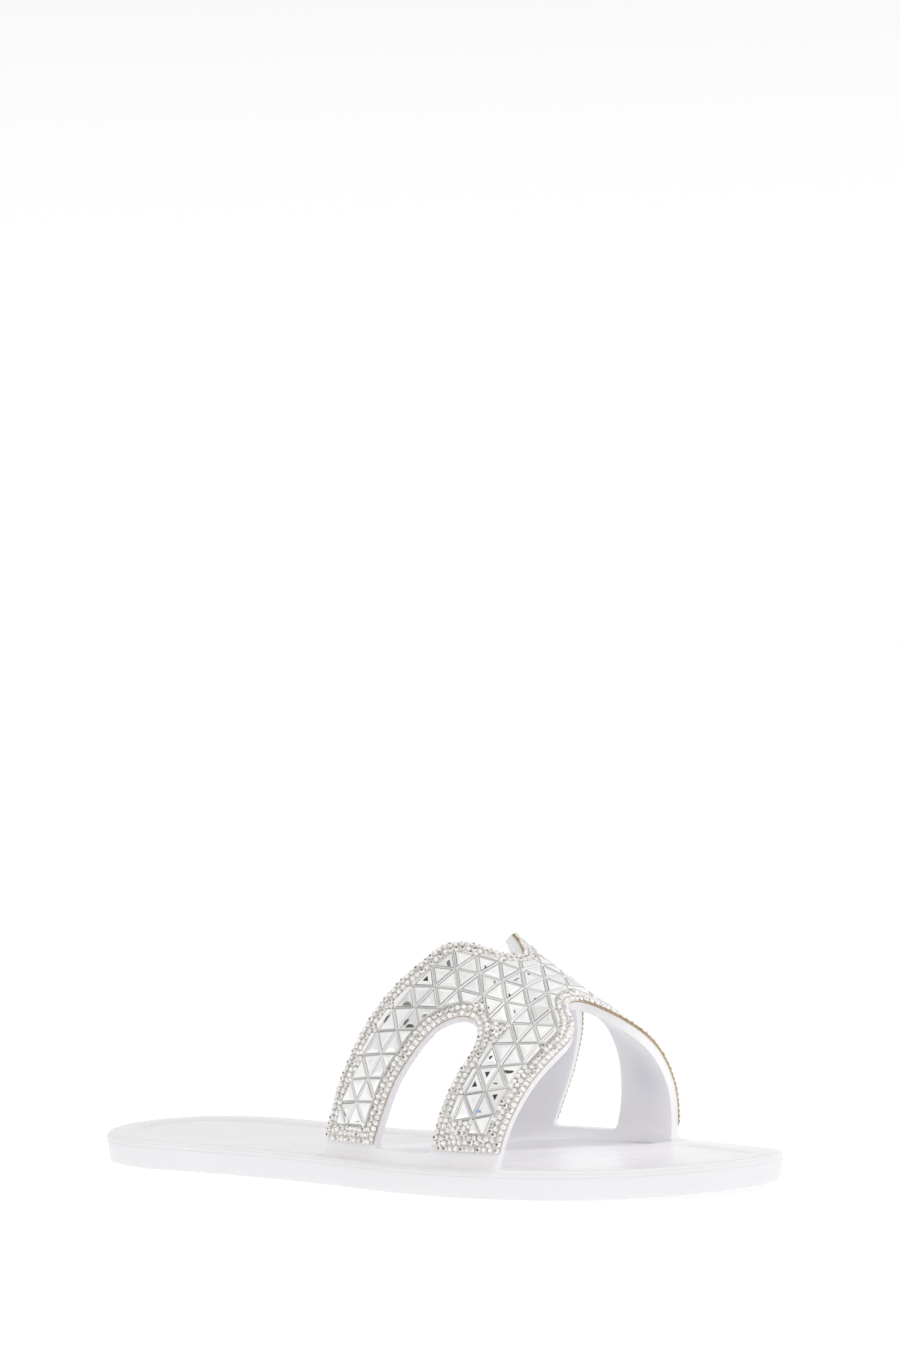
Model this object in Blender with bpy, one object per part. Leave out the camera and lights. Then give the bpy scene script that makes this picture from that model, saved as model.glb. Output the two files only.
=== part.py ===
"""A jelly slide for the right foot: a moulded PVC sole, an H-cut PVC strap and its rhinestone overlay.

The shoe stands on its sole at Z = 0, with its toe towards +X and its inner (medial) side towards +Y.
Sizes are in millimetres, measured from the back of the heel, and become metres when the meshes are made.
"""

import math
from collections import namedtuple

import bpy
import numpy as np
from mathutils import Vector
from mathutils.geometry import delaunay_2d_cdt

METRES = 0.001

# Sole: its length, its thickness at the two ends, and how far the toe lifts off the floor.
SOLE_LENGTH = 252.0
HEEL_THICKNESS = 9.4
TOE_THICKNESS = 8.7
TOE_TIP = 4.0
TOE_SPRING = 2.4
SPRING_START = 182.0
FOOTBED_DISH = 0.5
OUTLINE_STEPS = 38
TIP_CROWDING = 0.5
FOOTBED_STEPS = 4

# Half widths of the sole from its centre line, at shares of its length.
SoleRow = namedtuple("SoleRow", "station lateral medial")
SOLE_ROWS = (
    SoleRow(0.020, 17.3, 17.6),
    SoleRow(0.060, 28.1, 26.9),
    SoleRow(0.120, 34.0, 31.2),
    SoleRow(0.240, 35.3, 29.4),
    SoleRow(0.400, 38.6, 24.9),
    SoleRow(0.500, 43.0, 28.0),
    SoleRow(0.600, 47.1, 36.4),
    SoleRow(0.700, 46.9, 41.0),
    SoleRow(0.800, 41.8, 38.2),
    SoleRow(0.900, 32.1, 30.0),
    SoleRow(0.960, 19.6, 22.4),
    SoleRow(0.988, 9.5, 15.6),
)

# The side of the sole, from the flat underside over the drafted wall to the rounded rim.
SideRow = namedtuple("SideRow", "inset rise")
SIDE_ROWS = (
    SideRow(2.4, 0.0),
    SideRow(1.3, 0.05),
    SideRow(0.8, 0.17),
    SideRow(0.3, 0.50),
    SideRow(0.0, 0.78),
    SideRow(0.2, 0.91),
    SideRow(0.8, 0.98),
    SideRow(2.0, 1.0),
    SideRow(8.0, 1.0),
)
DISH_INSET = 11.0

# Strap: an arch over the foot whose crown falls towards the toe.
STRAP_WALL = 2.8
STRAP_INSET = 4.0
SEAM_GAP = 0.3
CROWN_RISE = 67.4
CROWN_STATION = 150.0
CROWN_SLOPE = -0.81
CROWN_BEND = 0.004
CROWN_SHIFT = 5.3
FOOT_FLARE = 1.6
FLARE_HEIGHT = 2.4
SLOT_SILL = 0.026
LEG_COLUMNS = 8
ROUND_COLUMNS = 5
TOP_COLUMNS = 11
STRIP_CELLS = 5
SILL_CELLS = 3
NORMAL_STEP = 0.2
NORMAL_SWING = 0.004

# Edges of the H cut, as distances from the heel, from the foot of a leg (climb 0) to the crown (climb 1).
StrapRow = namedtuple("StrapRow", "climb rear slot_middle slot_half front")
LATERAL_ROWS = (
    StrapRow(0.0, 114.5, 148.0, 12.6, 184.0),
    StrapRow(0.1, 119.0, 151.7, 11.5, 185.3),
    StrapRow(0.2, 124.7, 155.0, 10.5, 186.8),
    StrapRow(0.3, 130.0, 158.4, 9.0, 188.5),
    StrapRow(0.4, 135.1, 161.6, 7.9, 190.2),
    StrapRow(0.5, 139.4, 164.0, 6.0, 191.5),
    StrapRow(0.6, 142.9, 165.5, 5.0, 192.5),
    StrapRow(0.7, 145.5, 166.5, 5.0, 192.6),
    StrapRow(0.8, 150.6, 167.5, 5.0, 189.7),
    StrapRow(0.9, 158.8, 168.5, 5.0, 182.8),
    StrapRow(1.0, 160.5, 169.5, 5.0, 182.6),
)
MEDIAL_ROWS = (
    StrapRow(0.0, 127.7, 161.5, 11.3, 196.4),
    StrapRow(0.1, 133.1, 164.7, 10.5, 197.2),
    StrapRow(0.2, 138.3, 167.6, 9.4, 197.9),
    StrapRow(0.3, 142.0, 169.8, 8.4, 198.2),
    StrapRow(0.4, 145.0, 171.7, 7.5, 197.9),
    StrapRow(0.5, 146.8, 173.0, 6.6, 197.3),
    StrapRow(0.6, 147.2, 173.9, 5.8, 196.2),
    StrapRow(0.7, 147.8, 174.0, 5.2, 194.2),
    StrapRow(0.8, 149.5, 173.0, 5.0, 190.8),
    StrapRow(0.9, 155.5, 171.3, 5.0, 186.2),
    StrapRow(1.0, 160.5, 169.5, 5.0, 182.6),
)

# Climbs at which the round top of each slot starts and ends.
SlotTop = namedtuple("SlotTop", "start tip")
LATERAL_TOP = SlotTop(0.42, 0.540)
MEDIAL_TOP = SlotTop(0.56, 0.700)

# Overlay: layers on the outer face of the strap, each a seam gap above the one below.
CROWN_TILT = math.radians(33.0)
OVERLAY_MARGIN = 0.4
OVERLAY_FOOT = 4.3
BACKING_LOW = SEAM_GAP
BACKING_HIGH = 0.8
BACKING_GRID = 5.0
GRID_MARGIN = 1.8
STONE_LOW = BACKING_HIGH + SEAM_GAP
STONE_GROOVE = STONE_LOW + 0.35
STONE_TABLE = STONE_LOW + 1.3
STONE_SIDE = 8.57
STONE_PHASE = -3.76
TABLE_SHARE = 0.34
SMALLEST_STONE = 0.12
BORDER_WIDTH = 4.4
BORDER_END_WIDTH = 6.4
EDGE_STEPS = 40
END_STEPS = 4
CORNER_CLIMB = 0.1

# Rows of stones on the flat sheet: where the first lies, how close they are, how they lean down the rear
# and the front legs, and how much further down the front legs their stones sit.
FIRST_ROW = 86.34
ROW_SPREAD = 0.823
REAR_LEAN = 0.037
FRONT_LEAN = 0.305
REAR_ROWS_END = 10.6
FRONT_ROWS_START = 39.3
LEG_SHIFT = 3.96
LEAN_ROUND = 19.5
LATTICE_REAR = -16.0
LATTICE_FRONT = 64.0
LATTICE_GIRTH = 96.0

# How the flat overlay is worked out and cut.
ROW_SHARE = math.sqrt(3.0) / 2.0
STONE_AREA = STONE_SIDE**2 * ROW_SHARE / 2.0
LONG_SIDE = 0.6
GIRTH_REACH = 1.02
GIRTH_STEPS = 205
FIRST_GUESS = 25.0
SOLVER_ROUNDS = 8
SOLVER_STEP = 0.1
SHARP_TURN = 0.5
FILL_INSIDE = 1
KEEP_PIECES = 4
MERGE_DISTANCE = 1e-5

# Section of the rhinestone border: two rows of beads across its width.
BorderRow = namedtuple("BorderRow", "share level")
BORDER_ROWS = (
    BorderRow(0.0, STONE_LOW + 0.3),
    BorderRow(0.25, STONE_LOW + 1.2),
    BorderRow(0.5, STONE_LOW + 0.8),
    BorderRow(0.75, STONE_LOW + 1.2),
    BorderRow(1.0, STONE_LOW + 0.3),
)


# Plain finishes, with the angle in degrees above which an edge stays sharp.
Finish = namedtuple("Finish", "name colour roughness metallic smooth_angle")
MILKY_PVC = Finish("milky_pvc", (0.86, 0.86, 0.90), 0.22, 0.0, 40.0)
CARRIER_SHEET = Finish("carrier_sheet", (0.42, 0.33, 0.25), 0.6, 0.0, 40.0)
RHINESTONE = Finish("rhinestone", (0.80, 0.80, 0.82), 0.08, 0.4, 70.0)
FACETED_RESIN = Finish("faceted_resin", (0.84, 0.84, 0.86), 0.06, 0.2, 10.0)


def smooth(at, knots, values):
    """Reads a curve that passes through every knot with a continuous slope."""
    knots = np.asarray(knots, float)
    values = np.asarray(values, float)
    slopes = np.gradient(values, knots)
    before = np.clip(np.searchsorted(knots, at, side="right") - 1, 0, len(knots) - 2)
    span = knots[before + 1] - knots[before]
    share = (at - knots[before]) / span
    rest = 1.0 - share
    bend = slopes[before] * rest - slopes[before + 1] * share
    leaving = values[before] * rest**2 * (1 + 2 * share)
    coming = values[before + 1] * share**2 * (1 + 2 * rest)
    return leaving + coming + span * share * rest * bend


# Sole shape


def toe_spring(x):
    share = np.clip((x - SPRING_START) / (SOLE_LENGTH - SPRING_START), 0.0, 1.0)
    return TOE_SPRING * share**2


def sole_top(x):
    return HEEL_THICKNESS + (TOE_THICKNESS - HEEL_THICKNESS) * x / SOLE_LENGTH + toe_spring(x)


def sole_outline():
    """The widest ring of the sole: heel tip, lateral side, toe tip, medial side."""
    lateral = [(row.station * SOLE_LENGTH, -row.lateral) for row in SOLE_ROWS]
    medial = [(row.station * SOLE_LENGTH, row.medial) for row in reversed(SOLE_ROWS)]
    loop = np.array([(0.0, 0.0)] + lateral + [(SOLE_LENGTH, TOE_TIP)] + medial)
    around = np.vstack([loop[-2:], loop, loop[:3]])
    run = np.concatenate([[0.0], np.cumsum(np.linalg.norm(np.diff(around, axis=0), axis=1))])
    heel, toe, close = 2, 2 + 1 + len(SOLE_ROWS), 2 + len(loop)
    even = np.linspace(0.0, 1.0, OUTLINE_STEPS + 1)[:-1]
    crowded = 0.5 * (1.0 - np.cos(math.pi * even))
    shares = even + TIP_CROWDING * (crowded - even)
    places = np.concatenate(
        [run[heel] + shares * (run[toe] - run[heel]), run[toe] + shares * (run[close] - run[toe])]
    )
    return np.column_stack([smooth(places, run, around[:, 0]), smooth(places, run, around[:, 1])])


def ring(outline, inset, height):
    """The outline moved inwards, at the height that the given function has there."""
    along = np.roll(outline, -1, axis=0) - np.roll(outline, 1, axis=0)
    along /= np.linalg.norm(along, axis=1)[:, None]
    inwards = np.column_stack([-along[:, 1], along[:, 0]])
    moved = outline + inset * inwards
    return np.column_stack([moved, height(moved[:, 0])])


def joined_rings(lower, upper):
    count = len(lower)
    return [
        [lower[i], lower[(i + 1) % count], upper[(i + 1) % count], upper[i]]
        for i in range(count)
    ]


def ring_floor(edge, height):
    """Rows of faces that close a ring, run from the lateral side across to the medial side."""
    lateral = edge[: OUTLINE_STEPS + 1]
    medial = np.vstack([edge[:1], edge[:OUTLINE_STEPS - 1:-1]])
    rows = []
    for step in range(FOOTBED_STEPS + 1):
        share = step / FOOTBED_STEPS
        row = lateral * (1.0 - share) + medial * share
        if 0 < step < FOOTBED_STEPS:
            row[1:-1, 2] = height(row[1:-1, 0])
        rows.append(row)
    return [
        [first[i], first[i + 1], second[i + 1], second[i]]
        for first, second in zip(rows, rows[1:])
        for i in range(OUTLINE_STEPS)
    ]


def sole_faces():
    outline = sole_outline()
    rings = [
        ring(
            outline,
            row.inset,
            lambda x, rise=row.rise: toe_spring(x) + rise * (sole_top(x) - toe_spring(x)),
        )
        for row in SIDE_ROWS
    ]
    footbed = ring(outline, DISH_INSET, lambda x: sole_top(x) - FOOTBED_DISH)
    rings.append(footbed)
    faces = []
    for lower, upper in zip(rings, rings[1:]):
        faces += joined_rings(lower, upper)
    faces += ring_floor(footbed, lambda x: sole_top(x) - FOOTBED_DISH)
    faces += [face[::-1] for face in ring_floor(rings[0], toe_spring)]
    return faces


# Strap shape: a place is a distance from the heel and a turn, -1 at the lateral and 1 at the medial foot.


def crown_rise(x):
    past = x - CROWN_STATION
    return CROWN_RISE + CROWN_SLOPE * past + CROWN_BEND * past**2


def strap_point(x, turn):
    """The outer face of the strap."""
    stations = [row.station for row in SOLE_ROWS]
    lateral = smooth(x / SOLE_LENGTH, stations, [row.lateral for row in SOLE_ROWS])
    medial = smooth(x / SOLE_LENGTH, stations, [row.medial for row in SOLE_ROWS])
    reach = np.where(turn < 0.0, lateral, medial) - STRAP_INSET
    angle = turn * math.pi / 2
    y = reach * np.sin(angle) + CROWN_SHIFT * np.cos(angle) ** 2
    z = sole_top(x) + SEAM_GAP + crown_rise(x) * np.cos(angle)
    return np.column_stack([x, y, z])


def strap_place(x, turn, level):
    """A point at a level above the outer face of the strap, along its normal."""
    forward = strap_point(x + NORMAL_STEP, turn) - strap_point(x - NORMAL_STEP, turn)
    across = strap_point(x, turn + NORMAL_SWING) - strap_point(x, turn - NORMAL_SWING)
    normal = np.cross(forward, across)
    normal /= np.linalg.norm(normal, axis=1)[:, None]
    return strap_point(x, turn) + normal * level[:, None]


def strap_edge(turn, column):
    """A column of the two strap tables, run from the lateral foot over the crown to the medial foot."""
    medial = MEDIAL_ROWS[-2::-1]
    knots = [row.climb - 1.0 for row in LATERAL_ROWS] + [1.0 - row.climb for row in medial]
    values = [getattr(row, column) for row in LATERAL_ROWS + medial]
    return smooth(turn, knots, values)


def rear_edge(turn):
    return strap_edge(turn, "rear")


def front_edge(turn):
    return strap_edge(turn, "front")


def slot_edge(turn, side):
    """The rear (side -1) or front (side 1) edge of a slot, which closes in a round top."""
    climb = 1.0 - np.abs(turn)
    start = np.where(turn < 0.0, LATERAL_TOP.start, MEDIAL_TOP.start)
    tip = np.where(turn < 0.0, LATERAL_TOP.tip, MEDIAL_TOP.tip)
    closed = np.clip((climb - start) / (tip - start), 0.0, 1.0)
    half = strap_edge(turn, "slot_half") * np.sqrt(1.0 - closed**2)
    return strap_edge(turn, "slot_middle") + side * half


def slot_rear(turn):
    return slot_edge(turn, -1.0)


def slot_front(turn):
    return slot_edge(turn, 1.0)


def round_climbs(top):
    """Places up the round top of a slot, closer together towards its tip."""
    swings = np.linspace(0.0, math.pi / 2, ROUND_COLUMNS + 1)
    return top.start + (top.tip - top.start) * np.sin(swings)


def patch(first_edge, second_edge, turns, cells):
    """Faces on the strap between two edges, for a run of turns."""
    first = first_edge(turns)
    second = second_edge(turns)
    faces = []
    for i in range(len(turns) - 1):
        for j in range(cells):
            shares = (j / cells, (j + 1) / cells)
            low = [first[i] + (second[i] - first[i]) * share for share in shares]
            high = [first[i + 1] + (second[i + 1] - first[i + 1]) * share for share in shares]
            faces.append([(x, turns[i]) for x in low] + [(x, turns[i + 1]) for x in reversed(high)])
    return faces


def side_climbs(sill, top):
    """Places up one side of the strap, from the foot to the crown."""
    leg = np.linspace(SLOT_SILL, top.start, LEG_COLUMNS + 1)
    crossbar = np.linspace(top.tip, 1.0, TOP_COLUMNS + 1)
    return np.concatenate([sill, leg[1:], round_climbs(top)[1:], crossbar[1:]])


def strap_cells():
    """The H cut as faces of distance and turn, with a hole for each slot."""
    sill = np.array([0.0, SLOT_SILL / 2, SLOT_SILL])
    lateral = side_climbs(sill, LATERAL_TOP) - 1.0
    medial = 1.0 - side_climbs(sill, MEDIAL_TOP)[-2::-1]
    turns = np.concatenate([lateral, medial])
    cells = patch(rear_edge, slot_rear, turns, STRIP_CELLS)
    cells += patch(slot_front, front_edge, turns, STRIP_CELLS)
    cells += patch(slot_rear, slot_front, sill - 1.0, SILL_CELLS)
    cells += patch(slot_rear, slot_front, 1.0 - sill[::-1], SILL_CELLS)
    return cells


def foot_flare(x, turn):
    """How much thicker the wall is where a foot spreads on the sole."""
    height = crown_rise(x) * np.cos(turn * math.pi / 2)
    return FOOT_FLARE * (1.0 - np.clip(height / FLARE_HEIGHT, 0.0, 1.0)) ** 2


def thick_faces(cells, low, high):
    """A sheet of cells as a closed solid: its two faces, and a wall along every free edge."""
    faces = []
    used = {(a, b) for cell in cells for a, b in zip(cell, cell[1:] + cell[:1])}
    for cell in cells:
        faces.append([(*place, high) for place in cell])
        faces.append([(*place, low) for place in reversed(cell)])
    for a, b in used:
        if (b, a) not in used:
            faces.append([(*b, high), (*a, high), (*a, low), (*b, low)])
    return faces


def tidy_cells(cells):
    """Cells with rounded places, so that shared corners are equal, and with doubled corners dropped."""
    tidy = []
    for cell in cells:
        corners = [(round(float(u), 6), round(float(v), 6)) for u, v in cell]
        kept = [corner for i, corner in enumerate(corners) if corner != corners[i - 1]]
        if len(kept) > 2:
            tidy.append(kept)
    return tidy


def bent_strap(places):
    """Turns (distance, turn, level) into points. The inside of the wall spreads at its feet."""
    x, turn, level = places.T
    spread = np.where(level < 0.0, foot_flare(x, turn), 0.0)
    return strap_place(x, turn, level - spread)


# Overlay: a flat sheet measured along the crown and round the girth, bent over the strap.


def along_crown(points):
    return points[:, 0] * math.cos(CROWN_TILT) - points[:, 2] * math.sin(CROWN_TILT)


def girth_lines(along):
    """For each place along the crown, a row of turns with its distances from the heel and its girths."""
    turns = np.linspace(-GIRTH_REACH, GIRTH_REACH, GIRTH_STEPS)
    wanted = np.repeat(along, len(turns))
    grid = np.tile(turns, len(along))
    x = wanted / math.cos(CROWN_TILT) + FIRST_GUESS
    for _ in range(SOLVER_ROUNDS):
        here = along_crown(strap_point(x, grid))
        ahead = along_crown(strap_point(x + SOLVER_STEP, grid))
        x = x - (here - wanted) * SOLVER_STEP / (ahead - here)
    points = strap_point(x, grid).reshape(len(along), len(turns), 3)
    steps = np.linalg.norm(np.diff(points, axis=1), axis=2)
    girth = np.concatenate([np.zeros((len(along), 1)), np.cumsum(steps, axis=1)], axis=1)
    girth -= girth[:, [len(turns) // 2]]
    return turns, points[:, :, 0], girth


def flat_places(x, turn):
    """Where places on the strap lie on the flat sheet."""
    along = along_crown(strap_point(x, turn))
    turns, _, girths = girth_lines(along)
    girth = [np.interp(t, turns, row) for t, row in zip(turn, girths)]
    return np.column_stack([along, girth])


def bent_sheet(places):
    """Turns (along, girth, level) on the flat sheet into points over the strap."""
    turns, distances, girths = girth_lines(places[:, 0])
    turn = np.array([np.interp(g, row, turns) for g, row in zip(places[:, 1], girths)])
    x = np.array([np.interp(t, turns, row) for t, row in zip(turn, distances)])
    return strap_place(x, turn, places[:, 2])


def leg_end(edge, side):
    """The turn at which an edge comes down to the foot of the overlay."""
    climb = SLOT_SILL
    for _ in range(SOLVER_ROUNDS):
        x = float(edge(np.array([side * (1.0 - climb)]))[0])
        climb = math.asin(OVERLAY_FOOT / float(crown_rise(x))) / (math.pi / 2)
    return side * (1.0 - climb)


def end_line(first_edge, second_edge, side):
    """Places along the straight lower end of the overlay on one leg, without its two corners."""
    first = float(first_edge(np.array([leg_end(first_edge, side)]))[0])
    second = float(second_edge(np.array([leg_end(second_edge, side)]))[0])
    x = np.linspace(first, second, END_STEPS + 1)[1:-1]
    climb = np.arcsin(OVERLAY_FOOT / crown_rise(x)) / (math.pi / 2)
    return x, side * (1.0 - climb)


def slot_line(side, top):
    """Places up the rear edge of a slot, round its top and down its front edge."""
    sides = []
    for edge in (slot_rear, slot_front):
        foot = 1.0 - abs(leg_end(edge, side))
        straight = np.linspace(foot + CORNER_CLIMB, top.start, LEG_COLUMNS)
        sides.append(side * (1.0 - np.concatenate([[foot], straight, round_climbs(top)[1:]])))
    rear, front = sides[0], sides[1][-2::-1]
    return np.concatenate([slot_rear(rear), slot_front(front)]), np.concatenate([rear, front])


def edge_line(edge, side):
    """Places along an outer edge from the foot of one leg, over the crown, to the foot of the other."""
    start, stop = leg_end(edge, side), leg_end(edge, -side)
    between = np.linspace(start - side * CORNER_CLIMB, stop + side * CORNER_CLIMB, EDGE_STEPS)
    turns = np.concatenate([[start], between, [stop]])
    return edge(turns), turns


def overlay_loop():
    """The cut edge of the flat overlay, anticlockwise, and which of its sides are ends of legs."""
    medial = slot_line(1.0, MEDIAL_TOP)
    lateral = slot_line(-1.0, LATERAL_TOP)
    runs = (
        (*edge_line(front_edge, -1.0), False),
        (*end_line(front_edge, slot_front, 1.0), True),
        (medial[0][::-1], medial[1][::-1], False),
        (*end_line(slot_rear, rear_edge, 1.0), True),
        (*edge_line(rear_edge, 1.0), False),
        (*end_line(rear_edge, slot_rear, -1.0), True),
        (lateral[0], lateral[1], False),
        (*end_line(slot_front, front_edge, -1.0), True),
    )
    x = np.concatenate([run[0] for run in runs])
    turn = np.concatenate([run[1] for run in runs])
    at_end = np.concatenate([np.full(len(run[0]), run[2]) for run in runs])
    sides_at_end = at_end | np.roll(at_end, -1)
    return flat_places(x, turn), sides_at_end


def inner_loop(loop, widths):
    """A closed line moved inwards, each side by its own width."""
    along = np.roll(loop, -1, axis=0) - loop
    along /= np.linalg.norm(along, axis=1)[:, None]
    inwards = np.column_stack([-along[:, 1], along[:, 0]])
    moved = []
    for i, corner in enumerate(loop):
        before, after = inwards[i - 1], inwards[i]
        turning = before[0] * after[1] - before[1] * after[0]
        if abs(turning) > SHARP_TURN:
            pair = np.array([before, after])
            moved.append(corner + np.linalg.solve(pair, [widths[i - 1], widths[i]]))
        else:
            middle = (before + after) / (1.0 + before @ after)
            moved.append(corner + middle * 0.5 * (widths[i - 1] + widths[i]))
    return np.array(moved)


def depth_inside(points, loop):
    """How far each point lies inside a closed line, negative outside it."""
    points = np.asarray(points, float)
    start = loop[None]
    step = (np.roll(loop, -1, axis=0) - loop)[None]
    away = points[:, None] - start
    share = np.clip((away * step).sum(2) / (step**2).sum(2), 0.0, 1.0)
    nearest = np.linalg.norm(away - step * share[..., None], axis=2).min(axis=1)
    above = start[..., 1] > points[:, None, 1]
    next_above = (start + step)[..., 1] > points[:, None, 1]
    with np.errstate(divide="ignore", invalid="ignore"):
        crossing = start[..., 0] + step[..., 0] * (points[:, None, 1] - start[..., 1]) / step[..., 1]
    crossed = (above != next_above) & (points[:, None, 0] < crossing)
    return np.where(crossed.sum(axis=1) % 2 == 1, nearest, -nearest)


def fanned(row_place, girth):
    """Where a place in the even lattice falls on the flat sheet: its rows part to follow the legs."""
    share = (row_place - REAR_ROWS_END) / (FRONT_ROWS_START - REAR_ROWS_END)
    share = min(max(share, 0.0), 1.0)
    share = share**2 * (3.0 - 2.0 * share)
    reach = math.hypot(girth, LEAN_ROUND)
    lean = REAR_LEAN + (FRONT_LEAN - REAR_LEAN) * share
    along = FIRST_ROW + ROW_SPREAD * row_place + lean * (reach - LEAN_ROUND)
    return along, girth * (1.0 + LEG_SHIFT * share / reach)


def lattice(side):
    """Corners and triangles of a triangular lattice over the sheet, one row of sides along the girth."""
    row = side * ROW_SHARE
    corners = {}
    for i in range(math.floor(LATTICE_REAR / row), math.ceil(LATTICE_FRONT / row) + 1):
        for j in range(-math.ceil(LATTICE_GIRTH / side), math.ceil(LATTICE_GIRTH / side) + 1):
            corners[i, j] = fanned(i * row, STONE_PHASE + (j + (i % 2) / 2) * side)
    triangles = []
    for i, j in corners:
        other = j if i % 2 else j - 1
        for third in ((i + 1, other + 1), (i - 1, other + 1)):
            keys = ((i, j), (i, j + 1), third)
            if all(key in corners for key in keys):
                triangles.append(keys if third[0] < i else (keys[1], keys[0], keys[2]))
    return corners, triangles


def backing_faces(edge):
    corners, _ = lattice(BACKING_GRID)
    spots = np.array(list(corners.values()))
    spots = spots[depth_inside(spots, edge) > GRID_MARGIN]
    places = [Vector(place) for place in np.vstack([edge, spots])]
    outline = [list(range(len(edge)))]
    points, _, triangles, *_ = delaunay_2d_cdt(places, [], outline, FILL_INSIDE, MERGE_DISTANCE)
    cells = [[tuple(points[i]) for i in triangle] for triangle in triangles]
    return thick_faces(tidy_cells(cells), BACKING_LOW, BACKING_HIGH)


def border_faces(edge, widths):
    lines = [inner_loop(edge, widths * row.share) for row in BORDER_ROWS]
    levels = [row.level for row in BORDER_ROWS]
    section = [np.column_stack([line, np.full(len(line), level)]) for line, level in zip(lines, levels)]
    section.append(np.column_stack([lines[-1], np.full(len(edge), STONE_LOW)]))
    section.append(np.column_stack([lines[0], np.full(len(edge), STONE_LOW)]))
    faces = []
    for first, second in zip(section, section[1:] + section[:1]):
        faces += joined_rings(first, second)
    return faces


def stone_cells(loop):
    """The lattice triangles inside a closed line, cut where they cross it."""
    corners, triangles = lattice(STONE_SIDE)
    numbers = {key: len(loop) + i for i, key in enumerate(corners)}
    places = [Vector(place) for place in list(loop) + list(corners.values())]
    outlines = [list(range(len(loop)))] + [[numbers[key] for key in keys] for keys in triangles]
    points, _, pieces, _, _, sources = delaunay_2d_cdt(places, [], outlines, KEEP_PIECES, MERGE_DISTANCE)
    inside = [piece for piece, source in zip(pieces, sources) if 0 in source and len(source) > 1]
    cells = tidy_cells([[tuple(points[i]) for i in piece] for piece in inside])
    return [cell for cell in cells if area(cell) > SMALLEST_STONE * STONE_AREA]


def area(outline):
    x, y = np.array(outline).T
    return 0.5 * float(np.sum(x * np.roll(y, -1) - np.roll(x, -1) * y))


def side_points(a, b):
    """The start of one side of a stone, and its middle where the side is long enough to bend."""
    if math.dist(a, b) < LONG_SIDE * STONE_SIDE:
        return [a]
    return [a, (round((a[0] + b[0]) / 2, 6), round((a[1] + b[1]) / 2, 6))]


def stone_faces(loop):
    """Every stone as a low pyramid with a flat table, on one thin web with a groove between stones."""
    faces = []
    used = set()
    for cell in stone_cells(loop):
        size = math.sqrt(area(cell) / STONE_AREA)
        centre = np.mean(cell, axis=0)
        level = STONE_GROOVE + (STONE_TABLE - STONE_GROOVE) * size
        table = [(*(centre + TABLE_SHARE * (np.array(corner) - centre)), level) for corner in cell]
        faces.append(table)
        rim = []
        for i, corner in enumerate(cell):
            following = cell[(i + 1) % len(cell)]
            first, second = table[i], table[(i + 1) % len(cell)]
            side = side_points(corner, following)
            rim += side
            faces.append([(*place, STONE_GROOVE) for place in side[-1:] + [following]] + [second, first])
            if len(side) > 1:
                faces.append([(*side[0], STONE_GROOVE), (*side[1], STONE_GROOVE), first])
        sides = list(zip(rim, rim[1:] + rim[:1]))
        used |= set(sides)
        for a, b in sides:
            faces.append([(*b, STONE_LOW), (*a, STONE_LOW), (*centre, STONE_LOW)])
    for a, b in used:
        if (b, a) not in used:
            faces.append([(*b, STONE_GROOVE), (*a, STONE_GROOVE), (*a, STONE_LOW), (*b, STONE_LOW)])
    return faces


# Objects


def indexed(faces):
    """Faces given by their corners, as one list of corners and faces that number them."""
    numbers = {}
    numbered = []
    for face in faces:
        keys = [tuple(round(float(value), 5) for value in corner) for corner in face]
        kept = [key for i, key in enumerate(keys) if key != keys[i - 1]]
        if len(kept) > 2:
            numbered.append([numbers.setdefault(key, len(numbers)) for key in kept])
    return np.array(list(numbers)), numbered


def material(finish):
    made = bpy.data.materials.new(finish.name)
    made.use_nodes = True
    shader = made.node_tree.nodes["Principled BSDF"]
    shader.inputs["Base Color"].default_value = (*finish.colour, 1.0)
    shader.inputs["Roughness"].default_value = finish.roughness
    shader.inputs["Metallic"].default_value = finish.metallic
    return made


def add_part(name, points, faces, finish):
    mesh = bpy.data.meshes.new(name)
    mesh.from_pydata(points * METRES, [], faces)
    mesh.validate()
    mesh.materials.append(bpy.data.materials.get(finish.name) or material(finish))
    mesh.shade_smooth()
    mesh.set_sharp_from_angle(angle=math.radians(finish.smooth_angle))
    bpy.context.scene.collection.objects.link(bpy.data.objects.new(name, mesh))


def main():
    for old in list(bpy.data.objects):
        bpy.data.objects.remove(old, do_unlink=True)
    loop, at_end = overlay_loop()
    edge = inner_loop(loop, np.full(len(loop), OVERLAY_MARGIN))
    widths = np.where(at_end, BORDER_END_WIDTH, BORDER_WIDTH)
    field = inner_loop(edge, widths + SEAM_GAP)

    strap = thick_faces(tidy_cells(strap_cells()), -STRAP_WALL, 0.0)
    solids = {
        "sole": (sole_faces(), None, MILKY_PVC),
        "upper": (strap, bent_strap, MILKY_PVC),
        "backing_sheet": (backing_faces(edge), bent_sheet, CARRIER_SHEET),
        "stone_border": (border_faces(edge, widths), bent_sheet, RHINESTONE),
        "triangle_stones": (stone_faces(field), bent_sheet, FACETED_RESIN),
    }
    shaped = {}
    for name, (faces, bend, finish) in solids.items():
        places, numbered = indexed(faces)
        shaped[name] = (bend(places) if bend else places, numbered, finish)

    # The origin is under the middle of the whole shoe.
    every = np.vstack([points for points, *_ in shaped.values()])
    middle = (every.min(axis=0) + every.max(axis=0)) / 2
    middle[2] = 0.0
    for name, (points, numbered, finish) in shaped.items():
        add_part(name, points - middle, numbered, finish)


main()
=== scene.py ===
"""A jelly slide for the right foot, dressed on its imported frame: milky PVC with a rhinestone overlay."""

import math
from collections import namedtuple
from functools import partial

import bpy
import numpy as np
from mathutils import Matrix, Vector
from mathutils.geometry import delaunay_2d_cdt


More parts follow.
